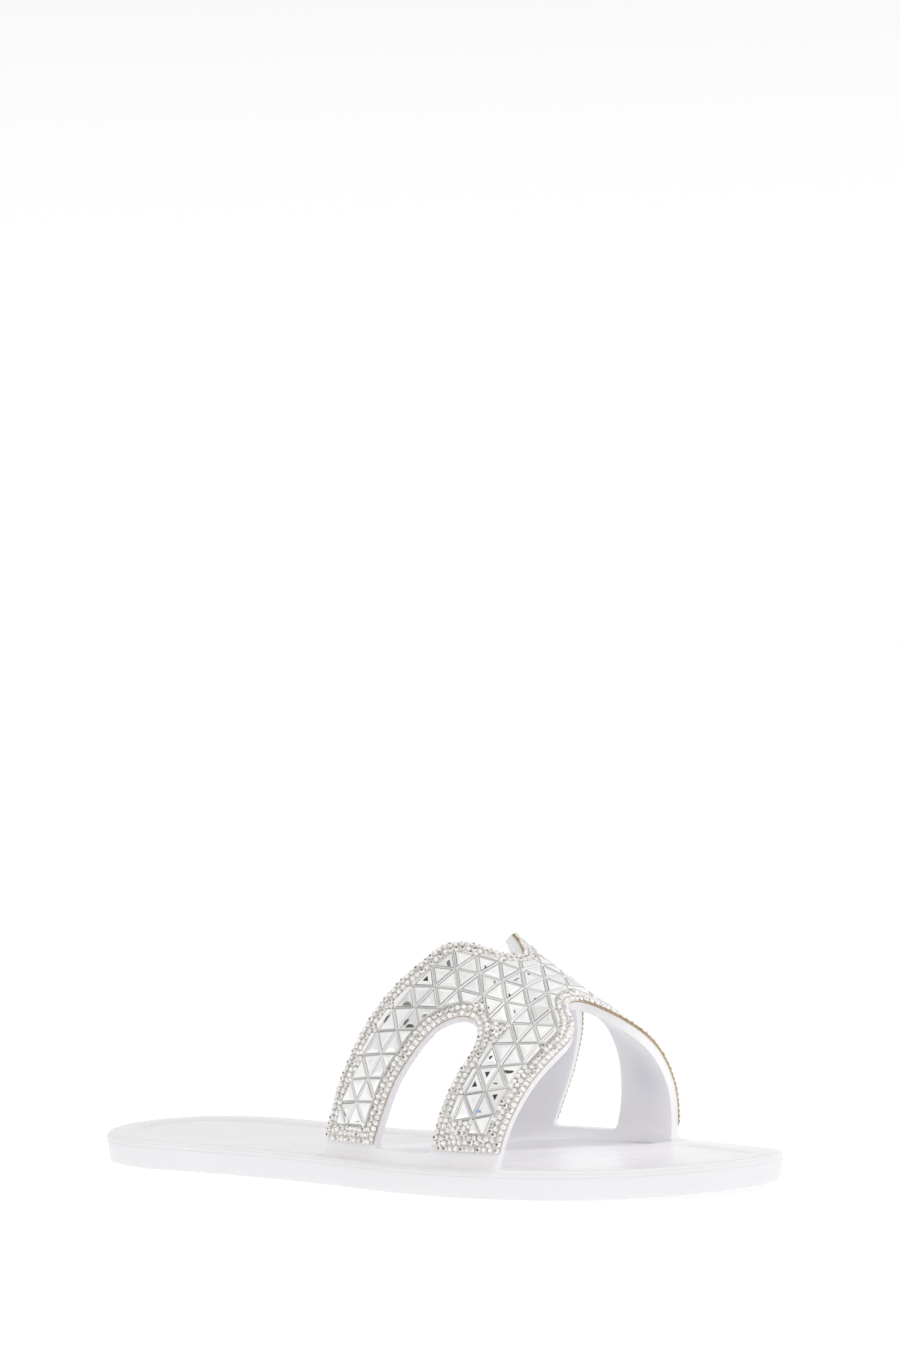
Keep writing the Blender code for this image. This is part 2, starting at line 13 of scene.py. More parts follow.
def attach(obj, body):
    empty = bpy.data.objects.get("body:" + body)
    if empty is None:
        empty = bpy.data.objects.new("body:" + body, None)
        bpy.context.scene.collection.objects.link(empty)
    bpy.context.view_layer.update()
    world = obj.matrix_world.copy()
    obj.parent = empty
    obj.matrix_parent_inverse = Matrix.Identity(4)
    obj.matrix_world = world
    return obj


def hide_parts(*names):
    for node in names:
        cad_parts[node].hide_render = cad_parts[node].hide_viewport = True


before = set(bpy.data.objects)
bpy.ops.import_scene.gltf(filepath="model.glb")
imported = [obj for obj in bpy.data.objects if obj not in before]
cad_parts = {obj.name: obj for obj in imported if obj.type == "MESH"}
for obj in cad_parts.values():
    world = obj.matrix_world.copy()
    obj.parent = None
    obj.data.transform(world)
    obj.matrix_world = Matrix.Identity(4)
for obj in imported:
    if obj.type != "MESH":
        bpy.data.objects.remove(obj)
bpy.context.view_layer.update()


# Camera
# It stands low, ahead of the outer side of the toes and about a metre and a half away. Its long lens
# keeps the near and the far side of the shoe at almost the same scale.

MM = 0.001
PHOTO_WIDTH = 900
PHOTO_HEIGHT = 1350
FOCAL_PIXELS = 4551.9
AIM_ACROSS = 425.6
AIM_DOWN = 1077.9
AIM = Vector((-1.0, 3.24, 30.0)) * MM
CAMERA_DISTANCE = 1432.4 * MM
CAMERA_TURN = math.radians(38.58)
CAMERA_DROP = math.radians(6.27)
CAMERA_ROLL = math.radians(1.99)
CAMERA_LENS = 120.73


def add_object(name, data):
    """A new object, put in the scene."""
    made = bpy.data.objects.new(name, data)
    bpy.context.scene.collection.objects.link(made)
    return made


ahead = Vector((-math.sin(CAMERA_TURN), math.cos(CAMERA_TURN), -math.tan(CAMERA_DROP))).normalized()
level_right = Vector((math.cos(CAMERA_TURN), math.sin(CAMERA_TURN), 0.0))
level_up = level_right.cross(ahead)
right = level_right * math.cos(CAMERA_ROLL) - level_up * math.sin(CAMERA_ROLL)
up = level_up * math.cos(CAMERA_ROLL) + level_right * math.sin(CAMERA_ROLL)
sideways = right * (PHOTO_WIDTH / 2 - AIM_ACROSS)
upwards = up * (AIM_DOWN - PHOTO_HEIGHT / 2)
to_middle = (ahead * FOCAL_PIXELS + sideways + upwards).normalized()
across = to_middle.cross(up).normalized()
upright = across.cross(to_middle)

lens = bpy.data.cameras.new("camera")
lens.lens = CAMERA_LENS
camera = add_object("camera", lens)
turned = Matrix((across, upright, -to_middle)).transposed().to_4x4()
camera.matrix_world = Matrix.Translation(AIM - ahead * CAMERA_DISTANCE) @ turned
bpy.context.scene.camera = camera


# Sole
# One slab of soft milky PVC, injection moulded: a plain drafted side, a rounded rim with fine parting
# lines, and a smooth footbed with a slight dish. The strap is fused to its rim.

SOLE_LENGTH = 252.0
HEEL_PLACE = np.array([-126.0, 3.243, 0.0])
HEEL_THICKNESS = 9.4
TOE_THICKNESS = 8.7
TOE_TIP = 4.0
TOE_SPRING = 2.4
SPRING_START = 182.0
FOOTBED_DISH = 0.5
OUTLINE_STEPS = 150
TIP_CROWDING = 0.5
FOOTBED_STEPS = 24
CLOSING_KNOTS = 2
POINT_DIGITS = 5

SoleRow = namedtuple("SoleRow", "station lateral medial")
SOLE_ROWS = (
    SoleRow(0.020, 17.3, 17.6),
    SoleRow(0.060, 28.1, 26.9),
    SoleRow(0.120, 34.0, 31.2),
    SoleRow(0.240, 35.3, 29.4),
    SoleRow(0.400, 38.6, 24.9),
    SoleRow(0.500, 43.0, 28.0),
    SoleRow(0.600, 47.1, 36.4),
    SoleRow(0.700, 46.9, 41.0),
    SoleRow(0.800, 41.8, 38.2),
    SoleRow(0.900, 32.1, 30.0),
    SoleRow(0.960, 19.6, 22.4),
    SoleRow(0.988, 9.5, 15.6),
)

# The side from the underside to the footbed: how far in from the widest outline, and how far up and down
# as shares of the thickness and of the dish. Two parting lines, each a fine groove, run round the rim.
SideRow = namedtuple("SideRow", "inset rise dish", defaults=(0.0,))
SIDE_ROWS = (
    SideRow(4.0, 0.0),
    SideRow(2.2, 0.0),
    SideRow(1.6, 0.02),
    SideRow(1.15, 0.07),
    SideRow(0.86, 0.15),
    SideRow(0.6, 0.30),
    SideRow(0.36, 0.46),
    SideRow(0.14, 0.63),
    SideRow(0.03, 0.735),
    SideRow(0.02, 0.750),
    SideRow(0.17, 0.760),
    SideRow(0.01, 0.772),
    SideRow(0.0, 0.80),
    SideRow(0.04, 0.866),
    SideRow(0.07, 0.876),
    SideRow(0.23, 0.886),
    SideRow(0.12, 0.898),
    SideRow(0.28, 0.94),
    SideRow(0.62, 0.974),
    SideRow(1.2, 0.994),
    SideRow(2.0, 1.0),
    SideRow(4.5, 1.0),
    SideRow(8.0, 1.0),
    SideRow(8.8, 1.0, 0.10),
    SideRow(9.6, 1.0, 0.45),
    SideRow(10.4, 1.0, 0.87),
    SideRow(11.2, 1.0, 1.0),
)

MILK_WHITE = "F2F1F4"
MILK_SHADE = "ECEBEE"
PVC_IOR = 1.53
PVC_CLOUDINESS = 0.35
PVC_LIGHT_REACH = (1.0, 1.0, 1.15)
GLOSS_SPREAD = 0.05
MOULD_GRAIN_STRENGTH = 0.04
MOULD_GRAIN_DEPTH_MM = 0.05
SOLE_LIGHT_DEPTH_MM = 4.0
SOLE_ROUGHNESS = 0.24
ALL_SMOOTH = 180.0

# Noise patterns, by the size of what repeats. The moulding is cloudy inside, rippled and finely grained.
Pattern = namedtuple("Pattern", "size_mm detail swirl", defaults=(2.0, 0.0))
MILK_CLOUD = Pattern(26.0)
MOULD_RIPPLE = Pattern(9.0, 3.0)
MOULD_GRAIN = Pattern(0.7)


def smooth(at, knots, values):
    """Reads a curve that passes through every knot with a continuous slope."""
    knots = np.asarray(knots, float)
    values = np.asarray(values, float)
    slopes = np.gradient(values, knots)
    before = np.clip(np.searchsorted(knots, at, side="right") - 1, 0, len(knots) - 2)
    span = knots[before + 1] - knots[before]
    share = (at - knots[before]) / span
    rest = 1.0 - share
    bend = slopes[before] * rest - slopes[before + 1] * share
    leaving = values[before] * rest**2 * (1 + 2 * share)
    coming = values[before + 1] * share**2 * (1 + 2 * rest)
    return leaving + coming + span * share * rest * bend


def toe_spring(x):
    share = np.clip((x - SPRING_START) / (SOLE_LENGTH - SPRING_START), 0.0, 1.0)
    return TOE_SPRING * share**2


def sole_top(x):
    return HEEL_THICKNESS + (TOE_THICKNESS - HEEL_THICKNESS) * x / SOLE_LENGTH + toe_spring(x)


def run_along(line):
    """How far along a line each of its points lies."""
    return np.concatenate([[0.0], np.cumsum(np.linalg.norm(np.diff(line, axis=0), axis=1))])


def sole_outline():
    """The widest ring of the sole: heel tip, lateral side, toe tip, medial side."""
    lateral = [(row.station * SOLE_LENGTH, -row.lateral) for row in SOLE_ROWS]
    medial = [(row.station * SOLE_LENGTH, row.medial) for row in reversed(SOLE_ROWS)]
    loop = np.array([(0.0, 0.0)] + lateral + [(SOLE_LENGTH, TOE_TIP)] + medial)
    heel = CLOSING_KNOTS
    around = np.vstack([loop[-heel:], loop, loop[: heel + 1]])
    run = run_along(around)
    toe, close = heel + 1 + len(SOLE_ROWS), heel + len(loop)
    even = np.linspace(0.0, 1.0, OUTLINE_STEPS + 1)[:-1]
    crowded = 0.5 * (1.0 - np.cos(math.pi * even))
    shares = even + TIP_CROWDING * (crowded - even)
    to_toe = run[heel] + shares * (run[toe] - run[heel])
    to_heel = run[toe] + shares * (run[close] - run[toe])
    places = np.concatenate([to_toe, to_heel])
    return np.column_stack([smooth(places, run, around[:, 0]), smooth(places, run, around[:, 1])])


def unit(rows):
    """Vectors in rows, each made one long."""
    return rows / np.linalg.norm(rows, axis=1)[:, None]


def ring(outline, row):
    """The outline moved inwards to one row of the side."""
    along = unit(np.roll(outline, -1, axis=0) - np.roll(outline, 1, axis=0))
    inwards = np.column_stack([-along[:, 1], along[:, 0]])
    moved = outline + row.inset * inwards
    low, high = toe_spring(moved[:, 0]), sole_top(moved[:, 0])
    return np.column_stack([moved, low + row.rise * (high - low) - row.dish * FOOTBED_DISH])


def joined_rings(lower, upper):
    count = len(lower)
    return [
        [lower[i], lower[(i + 1) % count], upper[(i + 1) % count], upper[i]]
        for i in range(count)
    ]


def ring_floor(edge, height):
    """Rows of faces that close a ring, run from the lateral side across to the medial side."""
    lateral = edge[: OUTLINE_STEPS + 1]
    medial = np.vstack([edge[:1], edge[: OUTLINE_STEPS - 1 : -1]])
    rows = []
    for step in range(FOOTBED_STEPS + 1):
        share = step / FOOTBED_STEPS
        row = lateral * (1.0 - share) + medial * share
        if 0 < step < FOOTBED_STEPS:
            row[1:-1, 2] = height(row[1:-1, 0])
        rows.append(row)
    return [
        [first[i], first[i + 1], second[i + 1], second[i]]
        for first, second in zip(rows, rows[1:])
        for i in range(OUTLINE_STEPS)
    ]


def sole_faces():
    outline = sole_outline()
    rings = [ring(outline, row) for row in SIDE_ROWS]
    faces = []
    for lower, upper in zip(rings, rings[1:]):
        faces += joined_rings(lower, upper)
    faces += ring_floor(rings[-1], lambda x: sole_top(x) - FOOTBED_DISH)
    faces += [face[::-1] for face in ring_floor(rings[0], toe_spring)]
    return faces


def distinct_corners(face, digits):
    """The corners of a face, rounded so that shared ones are equal, with doubled ones dropped."""
    corners = [tuple(round(float(value), digits) for value in corner) for corner in face]
    return [corner for i, corner in enumerate(corners) if corner != corners[i - 1]]


def indexed(faces):
    """Faces given by their corners, as one list of corners and faces that number them."""
    numbers = {}
    numbered = []
    for face in faces:
        kept = distinct_corners(face, POINT_DIGITS)
        if len(kept) > 2:
            numbered.append([numbers.setdefault(corner, len(numbers)) for corner in kept])
    return np.array(list(numbers)), numbered


def linear(text):
    """An sRGB hex colour as linear red, green, blue and alpha."""
    shares = [int(text[i : i + 2], 16) / 255 for i in (0, 2, 4)]
    return (*[s / 12.92 if s <= 0.04045 else ((s + 0.055) / 1.055) ** 2.4 for s in shares], 1.0)


def new_material(name, finish):
    """A material, its node tree and its surface shader, whose sockets take the values of a finish."""
    made = bpy.data.materials.new(name)
    made.use_nodes = True
    shader = made.node_tree.nodes["Principled BSDF"]
    for socket, value in finish.items():
        shader.inputs[socket].default_value = value
    return made, made.node_tree, shader


def add_node(tree, kind, inputs=(), links=(), **settings):
    """Adds a node: settings are its properties, inputs its socket values, links its incoming sockets."""
    node = tree.nodes.new(kind)
    for name, value in settings.items():
        setattr(node, name, value)
    for socket, value in dict(inputs).items():
        node.inputs[socket].default_value = value
    for socket, source in dict(links).items():
        tree.links.new(source, node.inputs[socket])
    return node


def noise_sockets(pattern):
    """The socket values of a noise whose features repeat at the size of a pattern."""
    return {"Scale": 1.0 / (pattern.size_mm * MM), "Detail": pattern.detail, "Distortion": pattern.swirl}


def moulded_pvc(name, roughness, depth_mm):
    """Soft PVC, moulded: cloudy white that lets light some way in, under a smooth wet-looking skin."""
    finish = {
        "IOR": PVC_IOR,
        "Subsurface Weight": PVC_CLOUDINESS,
        "Subsurface Radius": PVC_LIGHT_REACH,
        "Subsurface Scale": depth_mm * MM,
    }
    made, tree, shader = new_material(name, finish)
    place = add_node(tree, "ShaderNodeTexCoord").outputs["Object"]
    cloud, ripple, grain = (
        add_node(tree, "ShaderNodeTexNoise", noise_sockets(pattern), {"Vector": place}).outputs["Fac"]
        for pattern in (MILK_CLOUD, MOULD_RIPPLE, MOULD_GRAIN)
    )
    milk = add_node(
        tree,
        "ShaderNodeMix",
        {"A": linear(MILK_WHITE), "B": linear(MILK_SHADE)},
        {"Factor": cloud},
        data_type="RGBA",
    )
    gloss = add_node(
        tree,
        "ShaderNodeMapRange",
        {"To Min": roughness - GLOSS_SPREAD, "To Max": roughness + GLOSS_SPREAD},
        {"Value": ripple},
    )
    skin = add_node(
        tree,
        "ShaderNodeBump",
        {"Strength": MOULD_GRAIN_STRENGTH, "Distance": MOULD_GRAIN_DEPTH_MM * MM},
        {"Height": grain},
    )
    tree.links.new(milk.outputs["Result"], shader.inputs["Base Color"])
    tree.links.new(gloss.outputs["Result"], shader.inputs["Roughness"])
    tree.links.new(skin.outputs["Normal"], shader.inputs["Normal"])
    return made


def add_piece(name, points, faces, finish, node, sharp_degrees):
    """One piece in place of its CAD node, riding on the only body."""
    mesh = bpy.data.meshes.new(name)
    mesh.from_pydata((points + HEEL_PLACE) * MM, [], faces)
    mesh.validate()
    mesh.materials.append(finish)
    mesh.shade_smooth()
    mesh.set_sharp_from_angle(angle=math.radians(sharp_degrees))
    piece = add_object(name, mesh)
    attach(piece, "root")
    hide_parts(node)
    return piece


sole_pvc = moulded_pvc("pvc_moulded_sole", SOLE_ROUGHNESS, SOLE_LIGHT_DEPTH_MM)
sole_piece = add_piece("moulded_sole", *indexed(sole_faces()), sole_pvc, "sole", ALL_SMOOTH)


# Strap
# The H-cut upper, of the same PVC and about 3 mm thick. Two legs on each side rise from a low band that is
# fused to the rim of the sole, and meet over the instep. Its edges are slightly rounded by the mould.

STRAP_WALL = 2.8
STRAP_INSET = 4.0
SEAM_GAP = 0.3
CROWN_RISE = 67.4
CROWN_STATION = 150.0
CROWN_SLOPE = -0.81
CROWN_BEND = 0.004
CROWN_SHIFT = 5.3
FOOT_SINK = -0.012
OUTER_FILLET = 3.2
INNER_FILLET = 5.0
END_FILLET = 0.8
FILLET_FADE = 7.0
SKIRT_FLARE = 4.0
CORNER_FILLET = 1.8
LEG_CROWDING = 1.7
SLOT_SILL = 0.026
SILL_COLUMNS = 14
LEG_COLUMNS = 26
ROUND_COLUMNS = 14
TOP_COLUMNS = 24
STRIP_CELLS = 14
SILL_CELLS = 16
EDGE_ROUND_MM = 0.75
EDGE_ROUND_STEPS = 4
EDGE_ROUND_ANGLE = math.radians(55.0)
NORMAL_STEP = 0.2
NORMAL_SWING = 0.004
CELL_DIGITS = 6
STRAP_ROUGHNESS = 0.22
STRAP_LIGHT_DEPTH_MM = 4.0

# Painted shade where the overlay behind the milky wall blocks light: a grey by a share for each climb up a
# leg.
BACKING_SHADE_LAYER = "backing_shade_share"
BACKING_SHADE_GREY = "C2C5D2"
BACKING_SHADE_CLIMBS = (0.06, 0.16, 0.32, 0.5, 0.8)
BACKING_SHADE_SHARES = (0.0, 0.1, 0.5, 0.2, 0.05)
BACKING_SHADE_FADE = 9.0

# Edges of the strap and of its slots, as distances from the heel, from a foot up to the crown.
StrapRow = namedtuple("StrapRow", "climb rear slot_middle slot_half front")
LATERAL_ROWS = (
    StrapRow(0.0, 113.4, 147.2, 12.7, 184.6),
    StrapRow(0.1, 117.8, 150.8, 11.4, 186.0),
    StrapRow(0.2, 123.5, 153.9, 10.2, 187.4),
    StrapRow(0.3, 128.9, 157.4, 8.8, 188.9),
    StrapRow(0.4, 134.2, 160.8, 7.7, 190.2),
    StrapRow(0.5, 138.9, 163.6, 6.0, 191.5),
    StrapRow(0.6, 142.9, 165.5, 5.0, 192.5),
    StrapRow(0.7, 145.5, 166.5, 5.0, 192.6),
    StrapRow(0.8, 150.6, 167.5, 5.0, 189.7),
    StrapRow(0.9, 158.8, 168.5, 5.0, 182.8),
    StrapRow(1.0, 160.5, 169.5, 5.0, 182.6),
)
MEDIAL_ROWS = (
    StrapRow(0.0, 127.7, 161.5, 11.3, 196.4),
    StrapRow(0.1, 133.1, 164.7, 10.5, 197.2),
    StrapRow(0.2, 138.3, 167.6, 9.4, 197.9),
    StrapRow(0.3, 142.0, 169.8, 8.4, 198.2),
    StrapRow(0.4, 145.0, 171.7, 7.5, 197.9),
    StrapRow(0.5, 146.8, 173.0, 6.6, 197.3),
    StrapRow(0.6, 147.2, 173.9, 5.8, 196.2),
    StrapRow(0.7, 147.8, 174.0, 5.2, 194.2),
    StrapRow(0.8, 149.5, 173.0, 5.0, 190.8),
    StrapRow(0.9, 155.5, 171.3, 5.0, 186.2),
    StrapRow(1.0, 160.5, 169.5, 5.0, 182.6),
)
SlotTop = namedtuple("SlotTop", "start tip")
LATERAL_TOP = SlotTop(0.42, 0.540)
MEDIAL_TOP = SlotTop(0.56, 0.700)


def crown_rise(x):
    past = x - CROWN_STATION
    return CROWN_RISE + CROWN_SLOPE * past + CROWN_BEND * past**2


def strap_point(x, turn):
    """The outer face of the strap, by distance from the heel and turn: -1 lateral foot, 1 medial foot."""
    stations = [row.station for row in SOLE_ROWS]
    lateral = smooth(x / SOLE_LENGTH, stations, [row.lateral for row in SOLE_ROWS])
    medial = smooth(x / SOLE_LENGTH, stations, [row.medial for row in SOLE_ROWS])
    reach = np.where(turn < 0.0, lateral, medial) - STRAP_INSET
    angle = turn * math.pi / 2
    y = reach * np.sin(angle) + CROWN_SHIFT * np.cos(angle) ** 2
    z = sole_top(x) + SEAM_GAP + crown_rise(x) * np.cos(angle)
    return np.column_stack([x, y, z])


def strap_place(x, turn, level):
    """A point at a level above the outer face of the strap, along its normal."""
    forward = strap_point(x + NORMAL_STEP, turn) - strap_point(x - NORMAL_STEP, turn)
    sideways = strap_point(x, turn + NORMAL_SWING) - strap_point(x, turn - NORMAL_SWING)
    return strap_point(x, turn) + unit(np.cross(forward, sideways)) * level[:, None]


def strap_edge(turn, column):
    """A column of the two strap tables, run from the lateral foot over the crown to the medial foot."""
    medial = MEDIAL_ROWS[-2::-1]
    knots = [row.climb - 1.0 for row in LATERAL_ROWS] + [1.0 - row.climb for row in medial]
    values = [getattr(row, column) for row in LATERAL_ROWS + medial]
    return smooth(turn, knots, values)


rear_edge = partial(strap_edge, column="rear")
front_edge = partial(strap_edge, column="front")


def slot_edge(turn, side):
    """The rear (side -1) or front (side 1) edge of a slot, which closes in a round top."""
    climb = 1.0 - np.abs(turn)
    start = np.where(turn < 0.0, LATERAL_TOP.start, MEDIAL_TOP.start)
    tip = np.where(turn < 0.0, LATERAL_TOP.tip, MEDIAL_TOP.tip)
    closed = np.clip((climb - start) / (tip - start), 0.0, 1.0)
    half = strap_edge(turn, "slot_half") * np.sqrt(1.0 - closed**2)
    return strap_edge(turn, "slot_middle") + side * half


slot_rear = partial(slot_edge, side=-1.0)
slot_front = partial(slot_edge, side=1.0)


def round_climbs(top):
    """Places up the round top of a slot, closer together towards its tip."""
    swings = np.linspace(0.0, math.pi / 2, ROUND_COLUMNS + 1)
    return top.start + (top.tip - top.start) * np.sin(swings)


def patch(first_edge, second_edge, turns, cells):
    """Faces on the strap between two edges, for a run of turns."""
    first = first_edge(turns)
    second = second_edge(turns)
    faces = []
    for i in range(len(turns) - 1):
        for j in range(cells):
            shares = (j / cells, (j + 1) / cells)
            low = [first[i] + (second[i] - first[i]) * share for share in shares]
            high = [first[i + 1] + (second[i + 1] - first[i + 1]) * share for share in shares]
            faces.append([(x, turns[i]) for x in low] + [(x, turns[i + 1]) for x in reversed(high)])
    return faces


def side_climbs(sill, top):
    """Places up one side of the strap, from the foot to the crown."""
    leg = SLOT_SILL + (top.start - SLOT_SILL) * np.linspace(0.0, 1.0, LEG_COLUMNS + 1) ** LEG_CROWDING
    crossbar = np.linspace(top.tip, 1.0, TOP_COLUMNS + 1)
    return np.concatenate([sill, leg[1:], round_climbs(top)[1:], crossbar[1:]])


def fillet(height, radius):
    """How far a round fillet spreads a wall at a height above the face that it stands on."""
    below = 1.0 - np.clip(height / radius, 0.0, 1.0)
    return radius * (1.0 - np.sqrt(1.0 - below**2))


def foot_height(x, turn):
    return crown_rise(x) * np.cos(turn * math.pi / 2) + SEAM_GAP


def moulded_edge(turn, edge, side):
    """The rear or front edge as moulded, with a small fillet where it meets the sole."""
    x = edge(turn)
    return x + side * fillet(foot_height(x, turn), END_FILLET)


strap_rear = partial(moulded_edge, edge=rear_edge, side=-1.0)
strap_front = partial(moulded_edge, edge=front_edge, side=1.0)


def opening_edge(turn, side):
    """An edge of a slot as moulded, with a round corner where it meets the foot band."""
    x = slot_edge(turn, side)
    band = foot_height(x, np.full(len(x), 1.0 - SLOT_SILL))
    return x - side * fillet(foot_height(x, turn) - band, CORNER_FILLET)


opening_rear = partial(opening_edge, side=-1.0)
opening_front = partial(opening_edge, side=1.0)


def strap_cells():
    """The H cut as faces of distance and turn, with a hole for each slot."""
    sill = np.linspace(FOOT_SINK, SLOT_SILL, SILL_COLUMNS + 1)
    lateral = side_climbs(sill, LATERAL_TOP) - 1.0
    medial = 1.0 - side_climbs(sill, MEDIAL_TOP)[-2::-1]
    turns = np.concatenate([lateral, medial])
    cells = patch(strap_rear, opening_rear, turns, STRIP_CELLS)
    cells += patch(opening_front, strap_front, turns, STRIP_CELLS)
    cells += patch(opening_rear, opening_front, sill - 1.0, SILL_CELLS)
    cells += patch(opening_rear, opening_front, 1.0 - sill[::-1], SILL_CELLS)
    return cells


def free_sides(cells):
    """The sides of cells that no neighbour shares, as pairs of corners."""
    sides = {(a, b) for cell in cells for a, b in zip(cell, cell[1:] + cell[:1])}
    return [(a, b) for a, b in sorted(sides) if (b, a) not in sides]


def thick_faces(cells, low, high):
    """A sheet of cells as a closed solid: its two faces, and a wall along every free edge."""
    faces = []
    for cell in cells:
        faces.append([(*place, high) for place in cell])
        faces.append([(*place, low) for place in reversed(cell)])
    for a, b in free_sides(cells):
        faces.append([(*b, high), (*a, high), (*a, low), (*b, low)])
    return faces


def tidy_cells(cells):
    """Cells with rounded places and no doubled corners, without those that have no area left."""
    tidy = [distinct_corners(cell, CELL_DIGITS) for cell in cells]
    return [cell for cell in tidy if len(cell) > 2]


def eased(share):
    """A share kept from 0 to 1, which leaves one end and reaches the other slowly."""
    share = np.clip(share, 0.0, 1.0)
    return share**2 * (3.0 - 2.0 * share)


def edge_distance(x, turn):
    """How far a place on the strap is from its rear or front edge, whichever is nearer."""
    return np.minimum(x - strap_rear(turn), strap_front(turn) - x)


def bent_strap(places):
    """Turns (distance, turn, level) into points. Both faces of the wall spread at its feet.

    The part of the inner face that is sunk in the footbed goes on spreading, so that no crease shows.
    """
    x, turn, level = places.T
    fade = eased(edge_distance(x, turn) / FILLET_FADE)
    above = foot_height(x, turn) + FOOTBED_DISH
    inner = fade * (fillet(above, INNER_FILLET) + SKIRT_FLARE * np.clip(-above, 0.0, None))
    outer = fillet(foot_height(x, turn), OUTER_FILLET)
    return strap_place(x, turn, np.where(level < 0.0, level - inner, level + outer))


def backing_shade_share(places):
    """Painted shade for the overlay behind the wall, at places on the strap: most in the middle of a leg.
    """
    x, turn, _ = places.T
    climb = 1.0 - np.abs(turn)
    up_the_leg = np.interp(climb, BACKING_SHADE_CLIMBS, BACKING_SHADE_SHARES)
    from_slot = np.minimum(np.abs(x - slot_rear(turn)), np.abs(x - slot_front(turn)))
    inwards = np.minimum(edge_distance(x, turn), from_slot)
    return up_the_leg * np.clip(inwards / BACKING_SHADE_FADE, 0.0, 1.0)


def paint_backing_shade(finish):
    """Mixes painted shade for the overlay behind the wall into a PVC by the share stored at each corner."""
    tree = finish.node_tree
    base = tree.nodes["Principled BSDF"].inputs["Base Color"]
    share = add_node(tree, "ShaderNodeVertexColor", layer_name=BACKING_SHADE_LAYER)
    shown = add_node(
        tree,
        "ShaderNodeMix",
        {"B": linear(BACKING_SHADE_GREY)},
        {"Factor": share.outputs["Alpha"], "A": base.links[0].from_socket},
        data_type="RGBA",
    )
    tree.links.new(shown.outputs["Result"], base)


strap_pvc = moulded_pvc("pvc_moulded_strap", STRAP_ROUGHNESS, STRAP_LIGHT_DEPTH_MM)
paint_backing_shade(strap_pvc)
strap_places, strap_numbers = indexed(thick_faces(tidy_cells(strap_cells()), -STRAP_WALL, 0.0))
strap_points = bent_strap(strap_places)
strap_piece = add_piece("moulded_strap", strap_points, strap_numbers, strap_pvc, "upper", ALL_SMOOTH)
backing_shade_layer = strap_piece.data.color_attributes.new(BACKING_SHADE_LAYER, "FLOAT_COLOR", "POINT")
backing_shade_values = np.ones((len(strap_places), 4), np.float32)
backing_shade_values[:, 3] = backing_shade_share(strap_places)
backing_shade_layer.data.foreach_set("color", backing_shade_values.ravel())
rounding = strap_piece.modifiers.new("rounded_edges", "BEVEL")
rounding.width = EDGE_ROUND_MM * MM
rounding.segments = EDGE_ROUND_STEPS
rounding.limit_method = "ANGLE"
rounding.angle_limit = EDGE_ROUND_ANGLE
rounding.use_clamp_overlap = True


# Carrier sheet
# A thin hot-melt sheet, die cut to the H and glued to the strap, on which every stone sits. Only its
# brown cut edge shows, as a fine line round the stones.

CROWN_TILT = math.radians(33.0)
OVERLAY_MARGIN = 0.1
OVERLAY_FOOT = 4.3
CARRIER_LOW = 0.0
CARRIER_HIGH = 0.5
CARRIER_GRID = 3.4
GRID_MARGIN = 1.0
EDGE_STEPS = 110
END_STEPS = 4
SLOT_STEPS = 26
CORNER_CLIMB = 0.1
GIRTH_REACH = 1.02
GIRTH_STEPS = 205
FIRST_GUESS = 25.0
SOLVER_ROUNDS = 8
SOLVER_STEP = 0.1
SHARP_TURN = 0.5
FOLD_SLACK = 0.05
ROW_SHARE = math.sqrt(3.0) / 2.0
FILL_INSIDE = 1
KEEP_PIECES = 4
MERGE_DISTANCE = 1e-5

# The stones lie in rows, which lean a little down the rear legs and more down the front legs.
FIRST_ROW = 86.34
ROW_SPREAD = 0.823
REAR_LEAN = 0.037
FRONT_LEAN = 0.305
REAR_ROWS_END = 10.6
FRONT_ROWS_START = 39.3
LEG_SHIFT = 3.96
LEAN_ROUND = 19.5
LATTICE_REAR = -16.0
LATTICE_FRONT = 64.0
LATTICE_GIRTH = 96.0
STONE_PHASE = -3.76

CARRIER_EDGE = "B3A48F"
CARRIER_FACE = "F3F1EE"
CARRIER_FLECK = Pattern(1.4)
CARRIER_DULL = 0.8
CARRIER_BRIGHT = 1.0
CARRIER_ROUGHNESS = 0.6
FILM_LAYER = "film_colour"
CARRIER_CREASE = 40.0


def along_crown(points):
    return points[:, 0] * math.cos(CROWN_TILT) - points[:, 2] * math.sin(CROWN_TILT)


def girth_lines(along):
    """For each place along the crown, a row of turns with its distances from the heel and its girths."""
    turns = np.linspace(-GIRTH_REACH, GIRTH_REACH, GIRTH_STEPS)
    wanted = np.repeat(along, len(turns))
    grid = np.tile(turns, len(along))
    x = wanted / math.cos(CROWN_TILT) + FIRST_GUESS
    for _ in range(SOLVER_ROUNDS):
        here = along_crown(strap_point(x, grid))
        further = along_crown(strap_point(x + SOLVER_STEP, grid))
        x = x - (here - wanted) * SOLVER_STEP / (further - here)
    points = strap_point(x, grid).reshape(len(along), len(turns), 3)
    steps = np.linalg.norm(np.diff(points, axis=1), axis=2)
    girth = np.concatenate([np.zeros((len(along), 1)), np.cumsum(steps, axis=1)], axis=1)
    girth -= girth[:, [len(turns) // 2]]
    return turns, points[:, :, 0], girth


def flat_places(x, turn):
    """Where places on the strap lie on the flat sheet."""
    along = along_crown(strap_point(x, turn))
    turns, _, girths = girth_lines(along)
    girth = [np.interp(t, turns, row) for t, row in zip(turn, girths)]
    return np.column_stack([along, girth])


def bent_sheet(places):
    """Turns (along, girth, level) on the flat sheet into points over the strap."""
    turns, distances, girths = girth_lines(places[:, 0])
    turn = np.array([np.interp(g, row, turns) for g, row in zip(places[:, 1], girths)])
    x = np.array([np.interp(t, turns, row) for t, row in zip(turn, distances)])
    return strap_place(x, turn, places[:, 2])


